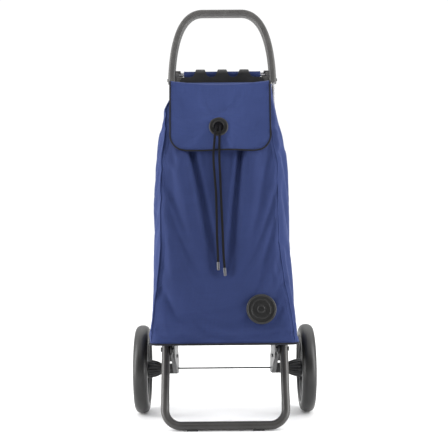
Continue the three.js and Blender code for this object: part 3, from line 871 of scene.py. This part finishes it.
def shape_bag(piece):
    """Gives the plain shell its lobes, folds and tucks before the cloth settles."""
    folds = [(wall_place(wall, *start), wall_place(wall, *end), width, tall)
             for wall, start, end, width, tall in FOLDS]
    for vertex, normal in [(v, v.normal.copy()) for v in piece.data.vertices]:
        point = vertex.co.copy()
        wall = wall_at(point)
        height = 0.0016 * noise.noise(point * 12) + 0.0009 * noise.noise(point * 30)
        height += fold_height(folds, point)
        half = bag_width(point.z) / 2
        level = (point.z - BAG_BOTTOM) / (RIM_FRONT - BAG_BOTTOM)
        belly = max(math.sin(math.pi * min(max(level * 1.1, 0.0), 1.0)), 0.0)
        middle = (front_y(point.z) + back_y(point.z)) / 2
        if wall == "front":
            height += 0.004 * belly * math.exp(-(((abs(point.x + 0.012) - 0.085) / 0.045) ** 2))
            height -= 0.006 * smoothstep(point.z, 0.615, 0.665)
            height -= 0.010 * belly * smoothstep(abs(point.x), half - 0.058, half) ** 2
        elif wall == "back":
            height -= 0.003 * belly
        held = smoothstep(point.z, BAG_BOTTOM, BAG_BOTTOM + 0.02)
        vertex.co = point + normal * min(height * held, room_outwards(point, wall))
        vertex.co.x *= gusset_pull(point)
        backwards = smoothstep(point.y, middle, back_y(point.z))
        vertex.co.x += side_sag(point) * MM * (1 - 0.45 * backwards)


def drape(piece, pinned, frames=14, pressure=0.25, shrink=-0.006, stiffness=12.0):
    """Settles the piece as cloth, held at the pinned points, and keeps the result."""
    group = piece.vertex_groups.new(name="held")
    for index, weight in pinned.items():
        group.add([index], weight, "REPLACE")
    cloth = piece.modifiers.new("settle", "CLOTH")
    settings = cloth.settings
    settings.quality = 5
    settings.mass = 0.2
    settings.tension_stiffness = stiffness
    settings.compression_stiffness = stiffness
    settings.shear_stiffness = stiffness / 3
    settings.bending_stiffness = 0.25
    settings.vertex_group_mass = "held"
    settings.pin_stiffness = 1.0
    settings.shrink_min = shrink
    settings.use_pressure = pressure != 0
    settings.uniform_pressure_force = pressure
    settings.effector_weights.gravity = 0.3
    cloth.collision_settings.use_collision = False
    cloth.point_cache.frame_start = 1
    cloth.point_cache.frame_end = frames
    scene = bpy.context.scene
    scene.frame_start, scene.frame_end = 1, frames
    for number in range(1, frames + 1):
        scene.frame_set(number)
    apply_modifiers(piece)
    piece.vertex_groups.clear()
    scene.frame_set(1)


def keep_near(piece, rest, normals, room_of, sink=0.026, reach=0.024):
    """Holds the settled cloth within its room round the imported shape."""
    for vertex, start, normal in zip(piece.data.vertices, rest, normals):
        move = vertex.co - start
        out = move.dot(normal)
        slide = move - normal * out
        if slide.length > reach:
            slide *= reach / slide.length
        vertex.co = start + slide + normal * min(max(out, -sink), room_of(start))


def add_bag():
    rows, uv_rows = bag_rows()
    piece = grid_piece("bag_cloth", rows, uv_rows, ring=True)
    count = len(rows[0])
    plain = [vertex.co.copy() for vertex in piece.data.vertices]
    normals = [vertex.normal.copy() for vertex in piece.data.vertices]
    shape_bag(piece)
    seams = set(seam_columns().values())
    pinned = {}
    for j in range(BAG_ROWS + 1):
        for i in range(count):
            at_edge = j <= 1 or j >= BAG_ROWS - 1
            pinned[j * count + i] = 1.0 if at_edge else 0.6 if i in seams else 0.12
    drape(piece, pinned)
    keep_near(piece, plain, normals, lambda point: room_outwards(point, wall_at(point)))
    lines = {name: [piece.data.vertices[j * count + i].co.copy() for j in range(BAG_ROWS + 1)]
             for name, i in seam_columns().items()}
    hem = [piece.data.vertices[i].co.copy() for i in range(count)]
    rim = [piece.data.vertices[BAG_ROWS * count + i].co.copy() for i in range(count)]
    add_bag_base(rows[0])
    modify(piece, "SOLIDIFY", thickness=CLOTH_THICK, offset=-1)
    finish_piece(piece, "navy_cloth", "frame", ["bag"])
    sewn = add_bag_seams(lines, hem, rim, lambda place: piece.closest_point_on_mesh(place)[1])
    girth = line_length([*hem, hem[0]])
    height = line_length(lines["back_left"])
    add_hole_shade_disc()


def seam_columns():
    """Where the four upright seams run: the start of each corner's arc."""
    middles, place = {}, 0
    for name, steps in (("back_left", FRONT_STEPS), ("front_left", SIDE_STEPS),
                        ("front_right", FRONT_STEPS), ("back_right", SIDE_STEPS)):
        place += steps
        middles[name] = place + CORNER_STEPS // 2
        place += CORNER_STEPS
    return middles


def add_bag_base(ring):
    """The stiff bottom: a board covered in the bag's cloth, with a padded edge."""
    centre = Vector((0, (BAG_LOW.y + back_y(BAG_BOTTOM)) / 2, BAG_BOTTOM))
    rows, uv_rows = [], []
    for share, lift in ((1.0, 0.0012), (0.995, 0.0002), (0.97, 0), (0.6, 0), (0.2, 0), (0.01, 0)):
        row = [centre + (point - centre) * share + Vector((0, 0, lift)) for point in ring]
        rows.append(row)
        uv_rows.append([(p.x, p.y) for p in [*row, row[0]]])
    base = grid_piece("bag_base_board", rows, uv_rows, ring=True)
    weld(base, 0.0004)
    upwards = base.data.polygons[0].normal.z > 0
    modify(base, "SOLIDIFY", thickness=BOARD_THICK, offset=1 if upwards else -1)
    finish_piece(base, "navy_cloth", "frame")


def add_hole_shade_disc():
    """A black disc on the bag's front behind the grommet's hole: painted shade for the dark inside of the
    hole that the drawcords come out of.
    """
    middle = on_bag(-11.2, 701.5, 0.35)
    profile = [(0.0, 0.0), (0.0, 0.0148), (0.0009, 0.0145), (0.0011, 0.0140), (0.0011, 0.0)]
    patch = turned("hole_shade_disc", 1, arc_profile(profile, 0.0003), 0, 0, 64)
    patch.data.transform(Matrix.Translation(middle) @ front_tilt())
    return finish_piece(patch, "black_tape", "frame")


def front_tilt():
    """Turns a piece made about X so that it faces out of the bag's front."""
    return Matrix.Rotation(-math.atan(FRONT_LEAN), 4, "X") @ Matrix.Rotation(-math.pi / 2, 4, "Z")


def add_bag_seams(lines, hem, rim, near_cloth):
    """The bag's seams, stitches and bindings, made along the settled cloth."""
    sewn = []
    for name, line in lines.items():
        centre = Vector((0, (front_y(0.5) + back_y(0.5)) / 2, 0))
        outwards = [(Vector((p.x, p.y, 0)) - centre).normalized() for p in line]
        bead = [p + out * 0.0004 for p, out in zip(line, outwards)]
        seam = swept(f"bag_seam_{name}", bead[1:-1], 0.0012, 8)
        # The seam bead takes the lighter, lit copy of the cloth: a painted highlight along the seam.
        sewn.append(finish_piece(seam, "lit_navy_cloth", "frame"))
        across = 0.0062 if name.endswith("right") else -0.0062
        if name.startswith("front"):
            beside = [Vector((p.x - across, front_y(p.z), p.z)) for p in line]
            settled = [near_cloth(p) for p in beside[3:-8]]
            sewn.append(stitch_row(f"bag_stitches_{name}", settled, Vector((0, -0.0002, 0)),
                                   "navy_thread", "frame"))
    edge = [point + Vector((0, 0, -0.0016)) for point in hem]
    sewn.append(add_loop("bag_bottom_piping", edge, 0.0023, "black_tape"))
    sewn.append(add_loop("bag_mouth_binding", rim, 0.0018, "navy_cloth"))
    return sewn


def stitch_row(name, line, lift, material, body, pitch=0.0042):
    """A row of short raised threads along a line, each one a little spindle."""
    places = evenly(line, max(int(line_length(line) / pitch), 2) + 1)
    points, faces, uvs = [], [], []
    for first, second in zip(places, places[1:]):
        along = second - first
        side = along.cross(lift).normalized()
        up = lift.normalized()
        base = len(points)
        for share, size in ((0.14, 0.12), (0.26, 0.30), (0.50, 0.36), (0.74, 0.30), (0.86, 0.12)):
            middle = first.lerp(second, share) + lift
            for k in range(6):
                turn = math.pi * k / 3
                points.append(middle + size * MM * (math.cos(turn) * side + math.sin(turn) * up))
        for ring in range(4):
            for k in range(6):
                a, b = base + ring * 6 + k, base + ring * 6 + (k + 1) % 6
                faces.append((a, b, b + 6, a + 6))
                uvs += [(k / 6, ring), ((k + 1) / 6, ring), ((k + 1) / 6, ring + 1), (k / 6, ring + 1)]
        faces.append(tuple(base + k for k in range(5, -1, -1)))
        faces.append(tuple(base + 24 + k for k in range(6)))
        uvs += [(0, 0)] * 12
    piece = mesh_piece(name, points, faces, [(u * MM, v * MM) for u, v in uvs])
    return finish_piece(piece, material, body)


def add_loop(name, ring, radius, material):
    """A closed bead round a ring of points."""
    line = [*ring, ring[0], ring[1]]
    loop = swept(name, line, radius, 8)
    return finish_piece(loop, material, "frame")


add_bag()

# ---- flap ----

FLAP_COLUMNS, TOP_ROWS, FALL_ROWS = 64, 44, 44
FLAP_SHIFT, FLAP_WIDE = -0.007, 0.1166
FLAP_CORNER = 0.036
GROMMET_AT = Vector((-0.011, front_y(0.701), 0.701))


def flap_line():
    """The flap's middle line from its hinge, over the front edge and down: points and directions out."""
    start = Vector((0, HINGE.y, HINGE.z + 0.0011))
    brow = Vector((0, front_y(0.806) - 0.0025, 0.8045))
    foot = Vector((0, front_y(FLAP_LOW.z) - 0.0025, FLAP_LOW.z))
    corner = 0.007
    back, down = (start - brow).normalized(), (foot - brow).normalized()
    line = [start.lerp(brow + back * corner, i / TOP_ROWS) for i in range(TOP_ROWS)]
    first, last = brow + back * corner, brow + down * corner
    line += [first * (1 - t) ** 2 + brow * 2 * t * (1 - t) + last * t ** 2 for t in (0, 0.25, 0.5, 0.75)]
    line += [last.lerp(foot, i / FALL_ROWS) for i in range(FALL_ROWS + 1)]
    return line


def flap_half_width(z, past_brow):
    """The flap narrows at its two rounded bottom corners."""
    rise = z - FLAP_LOW.z
    if not past_brow or rise > FLAP_CORNER:
        return FLAP_WIDE
    return FLAP_WIDE - FLAP_CORNER + math.sqrt(max(FLAP_CORNER ** 2 - (FLAP_CORNER - rise) ** 2, 0.0))


def flap_relief(x, run, falls):
    """The flap's own waves, out of its surface: a sag at the front edge and soft pulls to the eyelet."""
    swell = 0.0018 * math.sin(x * 34 + 0.8) + 0.0014 * math.sin(x * 61 + run * 40)
    if not falls:
        return swell
    pull = 0.0
    for corner_x in (-0.09, 0.10):
        a, b = Vector((corner_x, 0.0)), Vector((GROMMET_AT.x, 0.085))
        place = Vector((x, run))
        t = min(max((place - a).dot(b - a) / (b - a).length_squared, 0.0), 1.0)
        pull += 0.0036 * math.exp(-(((place - a.lerp(b, t)).length / 0.013) ** 2))
    flare = 0.0022 * smoothstep(run, 0.10, 0.16) * math.sin(x * 40 + 1.2)
    return swell + pull + flare


def add_flap():
    line = flap_line()
    rows, uv_rows, run = [], [], 0.0
    for j, point in enumerate(line):
        ahead = (line[min(j + 1, len(line) - 1)] - line[max(j - 1, 0)]).normalized()
        # The way out of the bag: up on the lid, forwards on the fall.
        out = Vector((1, 0, 0)).cross(ahead).normalized()
        if out.z < 0 and j < TOP_ROWS:
            out = -out
        out = -out if out.y > 0.5 else out
        falls = j >= TOP_ROWS + 2
        run += (point - line[j - 1]).length if j else 0.0
        below = max(0.0, run - (line[0] - line[TOP_ROWS]).length)
        half = flap_half_width(point.z, falls)
        row, uv = [], []
        for i in range(FLAP_COLUMNS + 1):
            x = half * (2 * i / FLAP_COLUMNS - 1)
            near_brow = math.exp(-(((j - TOP_ROWS) / 7) ** 2))
            across = max(1 - (x / FLAP_WIDE) ** 2, 0.0)
            held = smoothstep(j, 0, 8)
            sag = Vector((FLAP_SHIFT * smoothstep(j, 0, TOP_ROWS), 0,
                          near_brow * (0.0046 - 0.0078 * across ** 1.3)))
            if not falls:
                sag.z -= 0.008 * across * math.sin(math.pi * min(j / TOP_ROWS, 1.0))
            lift = flap_relief(x, below, falls) * held * (1 - near_brow)
            apart = (x + FLAP_SHIFT - GROMMET_AT.x) ** 2 + (point.z - GROMMET_AT.z) ** 2
            quiet = 1 - math.exp(-apart / 0.028 ** 2) if falls else 1
            row.append(point + Vector((x, 0, 0)) + sag * held + out * lift * quiet)
            uv.append((x, run))
        rows.append(row)
        uv_rows.append(uv)
    piece = grid_piece("flap_cloth", rows, uv_rows)
    count = FLAP_COLUMNS + 1
    last = len(rows) - 1
    pinned = {}
    for j in range(len(rows)):
        for i in range(count):
            on_edge = j in (0, last) or i in (0, FLAP_COLUMNS) or abs(j - TOP_ROWS - 2) <= 1
            near_ring = (rows[j][i] - GROMMET_AT).length < 0.028
            if on_edge or near_ring:
                pinned[j * count + i] = 1.0 if near_ring or j == 0 else 0.8
    drape(piece, pinned, frames=12, pressure=0.6, shrink=-0.012)
    border = flap_border(piece, count, len(rows))
    open_eyelet(piece)
    area = sum(polygon.area for polygon in piece.data.polygons)
    modify(piece, "SOLIDIFY", thickness=FLAP_THICK, offset=0)
    # The flap takes the lighter, lit copy of the cloth: painted light on the flap from above.
    finish_piece(piece, "lit_navy_cloth", "flap", ["flap"])
    inner = evenly([p + (GROMMET_AT + Vector((0, p.y - GROMMET_AT.y, 0.045)) - p).normalized() * 0.0055
                    for p in border[12:-12]], 250)
    stitches = stitch_row("flap_stitches", [piece.closest_point_on_mesh(p)[1] for p in inner],
                          Vector((0, -0.0003, 0.0001)), "navy_thread", "flap")
    piping = swept("flap_piping", border, 0.0021, 10)
    finish_piece(piping, "black_tape", "flap")
    min(area, 2 * FLAP_WIDE * run)


def flap_border(piece, count, row_count):
    """The flap's outer edge, down one side, along the bottom and up the other."""
    at = [vertex.co.copy() for vertex in piece.data.vertices]
    left = [at[j * count] for j in range(2, row_count)]
    bottom = [at[(row_count - 1) * count + i] for i in range(1, count - 1)]
    right = [at[j * count + count - 1] for j in range(row_count - 1, 1, -1)]
    return evenly([*left, *bottom, *right], 260)


def open_eyelet(piece):
    """Cuts the round hole that the grommet fills."""
    mesh = bmesh.new()
    mesh.from_mesh(piece.data)
    inside = [face for face in mesh.faces if (face.calc_center_median() - GROMMET_AT).length < 0.0150]
    bmesh.ops.delete(mesh, geom=inside, context="FACES")
    mesh.to_mesh(piece.data)
    mesh.free()


def facing_front(name, profile, rounding, middle, steps, angle=35):
    """A turned piece on the leaning front. The profile is in millimetres: out of it, and radius."""
    corners = arc_profile([(out * MM, radius * MM) for out, radius in profile], rounding)
    piece = turned(name, 1, corners, 0, 0, steps, angle)
    piece.data.transform(front_tilt())
    piece.data.transform(Matrix.Translation(middle))
    return piece


def add_grommet():
    """A rolled eyelet: a domed flange with a throat, tilted with the front."""
    profile = [(-3.4, 12.0), (-3.4, 16.2), (0.25, 16.2), (0.25, 22.2), (0.9, 22.5), (2.0, 21.9),
               (2.9, 20.0), (3.2, 17.5), (3.1, 15.0), (2.5, 13.0), (1.4, 12.1), (-3.4, 12.0)]
    middle = GROMMET_AT + Vector((0, -0.0041, 0))
    ring = facing_front("grommet_ring", profile, 0.0006, middle, 80)
    finish_piece(ring, "badge_black", "flap", ["grommet"])


def add_badge():
    """A plain round badge with a raised lip and a dished face with concentric steps."""
    profile = [(0.0, 0), (0.0, 33.2), (0.5, 33.9), (1.6, 34.0), (3.2, 33.4), (4.0, 32.0), (4.0, 30.6),
               (3.3, 29.8), (3.3, 22.6), (2.9, 22.2), (2.9, 20.6), (3.3, 20.2), (3.3, 9.4), (2.9, 9.0),
               (2.9, 7.6), (3.5, 6.8), (3.6, 0)]
    middle = (0.082, front_y(0.283) - 0.0005, 0.283)
    disc = facing_front("badge_disc", profile, 0.0004, middle, 96, 50)
    finish_piece(disc, "badge_black", "frame", ["badge"])


add_flap()
add_grommet()
add_badge()

# ---- handle, rails and crossbar ----

def cubic(a, b, c, d, t):
    s = 1 - t
    return a * s ** 3 + 3 * b * s * s * t + 3 * c * s * t * t + d * t ** 3


def add_handle():
    ends = [Vector((132, 855)), Vector((128, 960)), Vector((105, 1030.3)), Vector((50, 1030.3))]
    half = [Vector((132, 843)), Vector((132, 847)), Vector((132, 851))]
    half += [cubic(*ends, t / 40) for t in range(41)]
    half += [Vector((50 * (1 - k / 6), 1030.3)) for k in range(1, 7)]
    mirrored = [Vector((-p.x, p.y)) for p in half[-2::-1]]
    line = [Vector((p.x * MM, rail_y(p.y * MM), p.y * MM)) for p in [*half, *mirrored]]
    outline = oval_outline("handle_section", 0.0192, 0.0262, 3.3)
    hoop = bent_tube("handle_hoop", line, 0, outline)
    remove(outline)
    finish_piece(hoop, "handle_grey", "frame", ["handle"])
    add_bar_holders()


def add_bar_holders():
    """The two inward arms that carry the crossbar: a thick finger below it and a thin one above."""
    outer, bore, collar_radius = 0.1235, 0.0059, 0.0095
    for name, side in SIDES.items():
        for part, low, high, inner in (("lower", -0.0215, -0.0058, 0.1030),
                                       ("upper", 0.0058, 0.0090, 0.1085)):
            middle = ((inner + outer) / 2 * side, BAR.y, BAR.z + (low + high) / 2)
            arm = block(f"bar_holder_{part}_{name}", middle, (outer - inner, 0.0175, high - low))
            modify(arm, "BEVEL", width=0.0014, segments=3)
            smooth(arm)
            finish_piece(arm, "handle_grey", "frame")
        profile = [(0.1135, bore), (0.1135, collar_radius), (outer, collar_radius), (outer, bore),
                   (0.1135, bore)]
        collar = turned(f"bar_collar_{name}", side, arc_profile(profile), BAR.y, BAR.z, 48)
        finish_piece(collar, "handle_grey", "frame")


def add_rails():
    for name, side in SIDES.items():
        outline = oval_outline("rail_section", 0.0084, 0.020, 3.2)
        ends = [Vector((side * 0.1325, rail_y(z), z)) for z in np.linspace(0.1302, 0.8838, 12)]
        rail = bent_tube(f"rail_{name}_tube", ends, 0, outline)
        remove(outline)
        finish_piece(rail, "rail_aluminium", "frame", [f"rail_{name}"])


def add_crossbar():
    dress("crossbar", "rail_aluminium", 0.0004)
    profile = arc_profile([(-0.0999, 0.0059), (-0.0999, 0.0083), (-0.0980, 0.0085), (-0.0955, 0.0081),
                           (0.0955, 0.0081), (0.0980, 0.0085), (0.0999, 0.0083), (0.0999, 0.0059),
                           (-0.0999, 0.0059)], 0.0005)
    sleeve = turned("crossbar_sleeve_cloth", 1, profile, BAR.y, BAR.z, 48, 60)
    layer = sleeve.data.uv_layers.new(name="UVMap")
    for polygon in sleeve.data.polygons:
        for index in polygon.loop_indices:
            point = sleeve.data.vertices[sleeve.data.loops[index].vertex_index].co - BAR
            layer.data[index].uv = (point.x, math.atan2(point.z, point.y) * 0.008)
    finish_piece(sleeve, "navy_cloth", "frame", ["crossbar_sleeve"])


add_handle()
add_rails()
add_crossbar()


def add_hook_strip():
    """The hanger: one moulded strip whose three flared hooks lie over the sleeve."""
    half, reach, bottom, columns, steps = 0.110, 0.0122, 0.8424, 220, 24
    straight = BAR.z - bottom
    rows, uv_rows = [], []
    for j in range(steps + 1):
        row, uv = [], []
        for i in range(columns + 1):
            x = half * (2 * i / columns - 1)
            off = min(abs(x - centre) for centre in (-0.057, 0.0, 0.057))
            top = float(np.interp(off, [0.0075, 0.0100, 0.0135, 0.0180, 0.0230, 0.0290],
                                  [0.0620, 0.0440, 0.0290, 0.0200, 0.0168, 0.0160]))
            end = smoothstep(half - abs(x), 0.0, 0.006)
            run = top * (0.55 + 0.45 * end) * j / steps
            angle = max(run - straight, 0.0) / reach
            point = Vector((x, BAR.y - reach * math.cos(angle), min(bottom + run, BAR.z)))
            point.z += reach * math.sin(angle)
            row.append(point)
            uv.append((x, run))
        rows.append(row)
        uv_rows.append(uv)
    strip = grid_piece("hook_strip_moulding", rows, uv_rows)
    modify(strip, "SOLIDIFY", thickness=0.0030, offset=0)
    modify(strip, "BEVEL", width=0.0008, segments=2, limit_method="ANGLE")
    smooth(strip, 40)
    finish_piece(strip, "black_plastic", "frame", ["hook_strip"])


def add_hanger_panel():
    """The webbing that ties the hook strip to the bag's back rim."""
    rows, uv_rows = [], []
    for share in np.linspace(0, 1, 10):
        z = 0.8520 - 0.030 * share
        y = (BAR.y - 0.0090) * (1 - share) + (back_y(z) + 0.0016) * share
        xs = np.linspace(-0.106, 0.106, 60)
        rows.append([Vector((x, y + 0.0006 * math.sin(x * 90), z)) for x in xs])
        uv_rows.append([(x, z) for x in xs])
    panel = grid_piece("hanger_webbing", rows, uv_rows)
    modify(panel, "SOLIDIFY", thickness=0.0013)
    finish_piece(panel, "black_tape", "frame")


add_hook_strip()
add_hanger_panel()

# ---- wheels ----

def add_wheels():
    for name, side in SIDES.items():
        body = f"wheel_{name}"
        add_tyre(name, side, body)
        add_rim(name, side, body)
        add_hub_dome(name, side, body)
        cap = arc_profile([(0.2196, 0.0084), (0.2196, 0.0206), (0.2206, 0.0210), (0.2216, 0.0206),
                           (0.2230, 0.0170), (0.2230, 0.0120), (0.2222, 0.0110), (0.2222, 0.0084),
                           (0.2196, 0.0084)])
        ring = turned(f"hub_cap_{name}_disc", side, cap, AXLE_Y, AXLE_Z, 72)
        finish_piece(ring, "black_plastic", body, [f"hub_cap_{name}"])
        stud = arc_profile([(0.2146, 0), (0.2146, 0.0080), (0.2236, 0.0080), (0.2246, 0.0070),
                            (0.2246, 0.0052), (0.2240, 0.0045), (0.2240, 0)])
        button = turned(f"release_button_{name}_stud", side, stud, AXLE_Y, AXLE_Z, 48)
        finish_piece(button, "lever_grey", f"button_{name}", [f"release_button_{name}"])


def add_tyre(name, side, body):
    """The tyre: a smooth rounded tread with a bead lip."""
    profile = [(0.1920, 0.0842), (0.1898, 0.0862), (0.1886, 0.0905), (0.1887, 0.0960), (0.1900, 0.1010),
               (0.1925, 0.1047), (0.1955, 0.1072), (0.1985, 0.1086), (0.2022, 0.1096), (0.2065, 0.1099),
               (0.2108, 0.1096), (0.2145, 0.1086), (0.2175, 0.1072), (0.2205, 0.1047), (0.2230, 0.1010),
               (0.2243, 0.0960), (0.2244, 0.0905), (0.2232, 0.0862), (0.2210, 0.0842), (0.1920, 0.0842)]
    tyre = turned(f"tyre_{name}_tread", side, arc_profile(profile, 0.0012), AXLE_Y, AXLE_Z, 144, 60)
    finish_piece(tyre, "foam_rubber", body, [f"tyre_{name}"])


def add_rim(name, side, body):
    """The rim: a channelled ring, a hub barrel and six ribbed spokes."""
    ring = [(0.1945, 0.0752), (0.1936, 0.0836), (0.2194, 0.0836), (0.2185, 0.0752), (0.2150, 0.0742),
            (0.2110, 0.0762), (0.2020, 0.0762), (0.1980, 0.0742), (0.1945, 0.0752)]
    barrel = [(0.1934, 0.0084), (0.1934, 0.0180), (0.1960, 0.0188), (0.2165, 0.0188), (0.2192, 0.0180),
              (0.2192, 0.0084), (0.1934, 0.0084)]
    parts = [turned(f"rim_{name}_ring", side, arc_profile(ring), AXLE_Y, AXLE_Z, 120),
             turned(f"rim_{name}_barrel", side, arc_profile(barrel), AXLE_Y, AXLE_Z, 64)]
    for number in range(6):
        parts.append(add_spoke(side, number * math.pi / 3))
    rim = fused(f"rim_{name}_spoked", *parts)
    finish_piece(rim, "rim_plastic", body, [f"rim_{name}"])


def add_spoke(side, angle):
    """One spoke: a tapered bar, hollowed on both faces and bevelled."""
    spoke = block("spoke", (side * 0.2065, 0, 0.0462), (0.012, 0.012, 0.0596))
    for vertex in spoke.data.vertices:
        if vertex.co.z > 0.05:
            vertex.co.y *= 0.82
    # Nothing stays selected but the two faces chosen here.
    open_mesh(spoke, "DESELECT")
    close_mesh()
    for polygon in spoke.data.polygons:
        polygon.select = abs(polygon.normal.x) > 0.9
    bpy.ops.object.mode_set(mode="EDIT")
    bpy.ops.mesh.inset(thickness=0.0022, use_individual=True)
    bpy.ops.mesh.extrude_region_shrink_fatten(TRANSFORM_OT_shrink_fatten={"value": -0.0028})
    close_mesh()
    modify(spoke, "BEVEL", width=0.0006, segments=2, limit_method="ANGLE")
    spoke.data.transform(Matrix.Translation((0, AXLE_Y, AXLE_Z)) @ Matrix.Rotation(angle, 4, "X"))
    smooth(spoke)
    return spoke


def add_hub_dome(name, side, body):
    """The ribbed dome inside the wheel: twenty soft ribs on a tapering shell."""
    outer = [(0.1590, 0.0056), (0.1590, 0.0120), (0.1600, 0.0138), (0.1620, 0.0155), (0.1660, 0.0176),
             (0.1710, 0.0196), (0.1765, 0.0212), (0.1830, 0.0224), (0.1890, 0.0231), (0.1915, 0.0234),
             (0.1926, 0.0232), (0.1926, 0.0056), (0.1590, 0.0056)]
    dome = turned(f"hub_dome_{name}_ribbed", side, outer, AXLE_Y, AXLE_Z, 240, 60)
    axis = Vector((0, AXLE_Y, AXLE_Z))
    for vertex in dome.data.vertices:
        spoke = vertex.co - axis
        radius = math.hypot(spoke.y, spoke.z)
        along = abs(vertex.co.x)
        if radius > 0.008 and along < 0.1912:
            turn = math.atan2(spoke.z, spoke.y) * 20
            depth = 0.0017 * smoothstep(along, 0.1592, 0.164) * (1 - smoothstep(along, 0.1885, 0.1910))
            shrink = 1 - depth * (0.5 - 0.5 * math.cos(turn)) ** 0.7 / radius
            vertex.co = axis + Vector((vertex.co.x, spoke.y * shrink, spoke.z * shrink))
    finish_piece(dome, "black_plastic", body, [f"hub_dome_{name}"])


add_wheels()

# ---- front leg ----

def add_front_leg():
    foot = Vector((AXLE_Y - 0.226, 0.0115))
    pivot = Vector((LEG_PIVOT.y, LEG_PIVOT.z))
    up, reach, half, corner = (pivot - foot).normalized(), (pivot - foot).length, 0.140, 0.038
    place = lambda x, along: Vector((x, foot.x + up.x * along, foot.y + up.y * along))
    right = [place(half, along) for along in np.linspace(reach + 0.009, corner, 10)]
    for step in range(1, 17):
        angle = math.pi / 2 * step / 16
        right.append(place(half - corner + corner * math.cos(angle), corner - corner * math.sin(angle)))
    line = [*right, *[Vector((-p.x, p.y, p.z)) for p in right[::-1]]]
    hoop = bent_tube("front_leg_tube", line, 0.010, sides=10)
    finish_piece(hoop, "leg_coat", "front_leg", ["front_leg"])


add_front_leg()

# ---- the small fittings: name, finish and the rounding of their edges ----

for fitting, coat, edge in (
        ("bracket", "black_plastic", 0.0009), ("foot_lever", "lever_grey", 0.0006),
        ("latch_cam", "dark_steel", 0.0003),
        ("foot_pad", "black_plastic", 0.0005), ("leg_plug", "black_plastic", 0.0008),
        ("leg_pivot_pin", "dark_steel", 0.0003), ("lever_pin", "dark_steel", 0.0003),
        ("handle_rivet", "handle_grey", 0.0003), ("bracket_rivet", "dark_steel", 0.0003),
        ("axle", "bright_steel", 0.0003), ("wheel_bush", "lever_grey", 0.0002),
        ("button_spring", "bright_steel", 0.0001), ("lever_spring", "bright_steel", 0.0001)):
    for name in SIDES:
        dressed = dress(f"{fitting}_{name}", coat, edge)
        if fitting == "button_spring":
            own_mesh(dressed)
dress("release_rod", "dark_steel", 0.0003)
dress("bag_platform", "dark_steel", 0.0004)
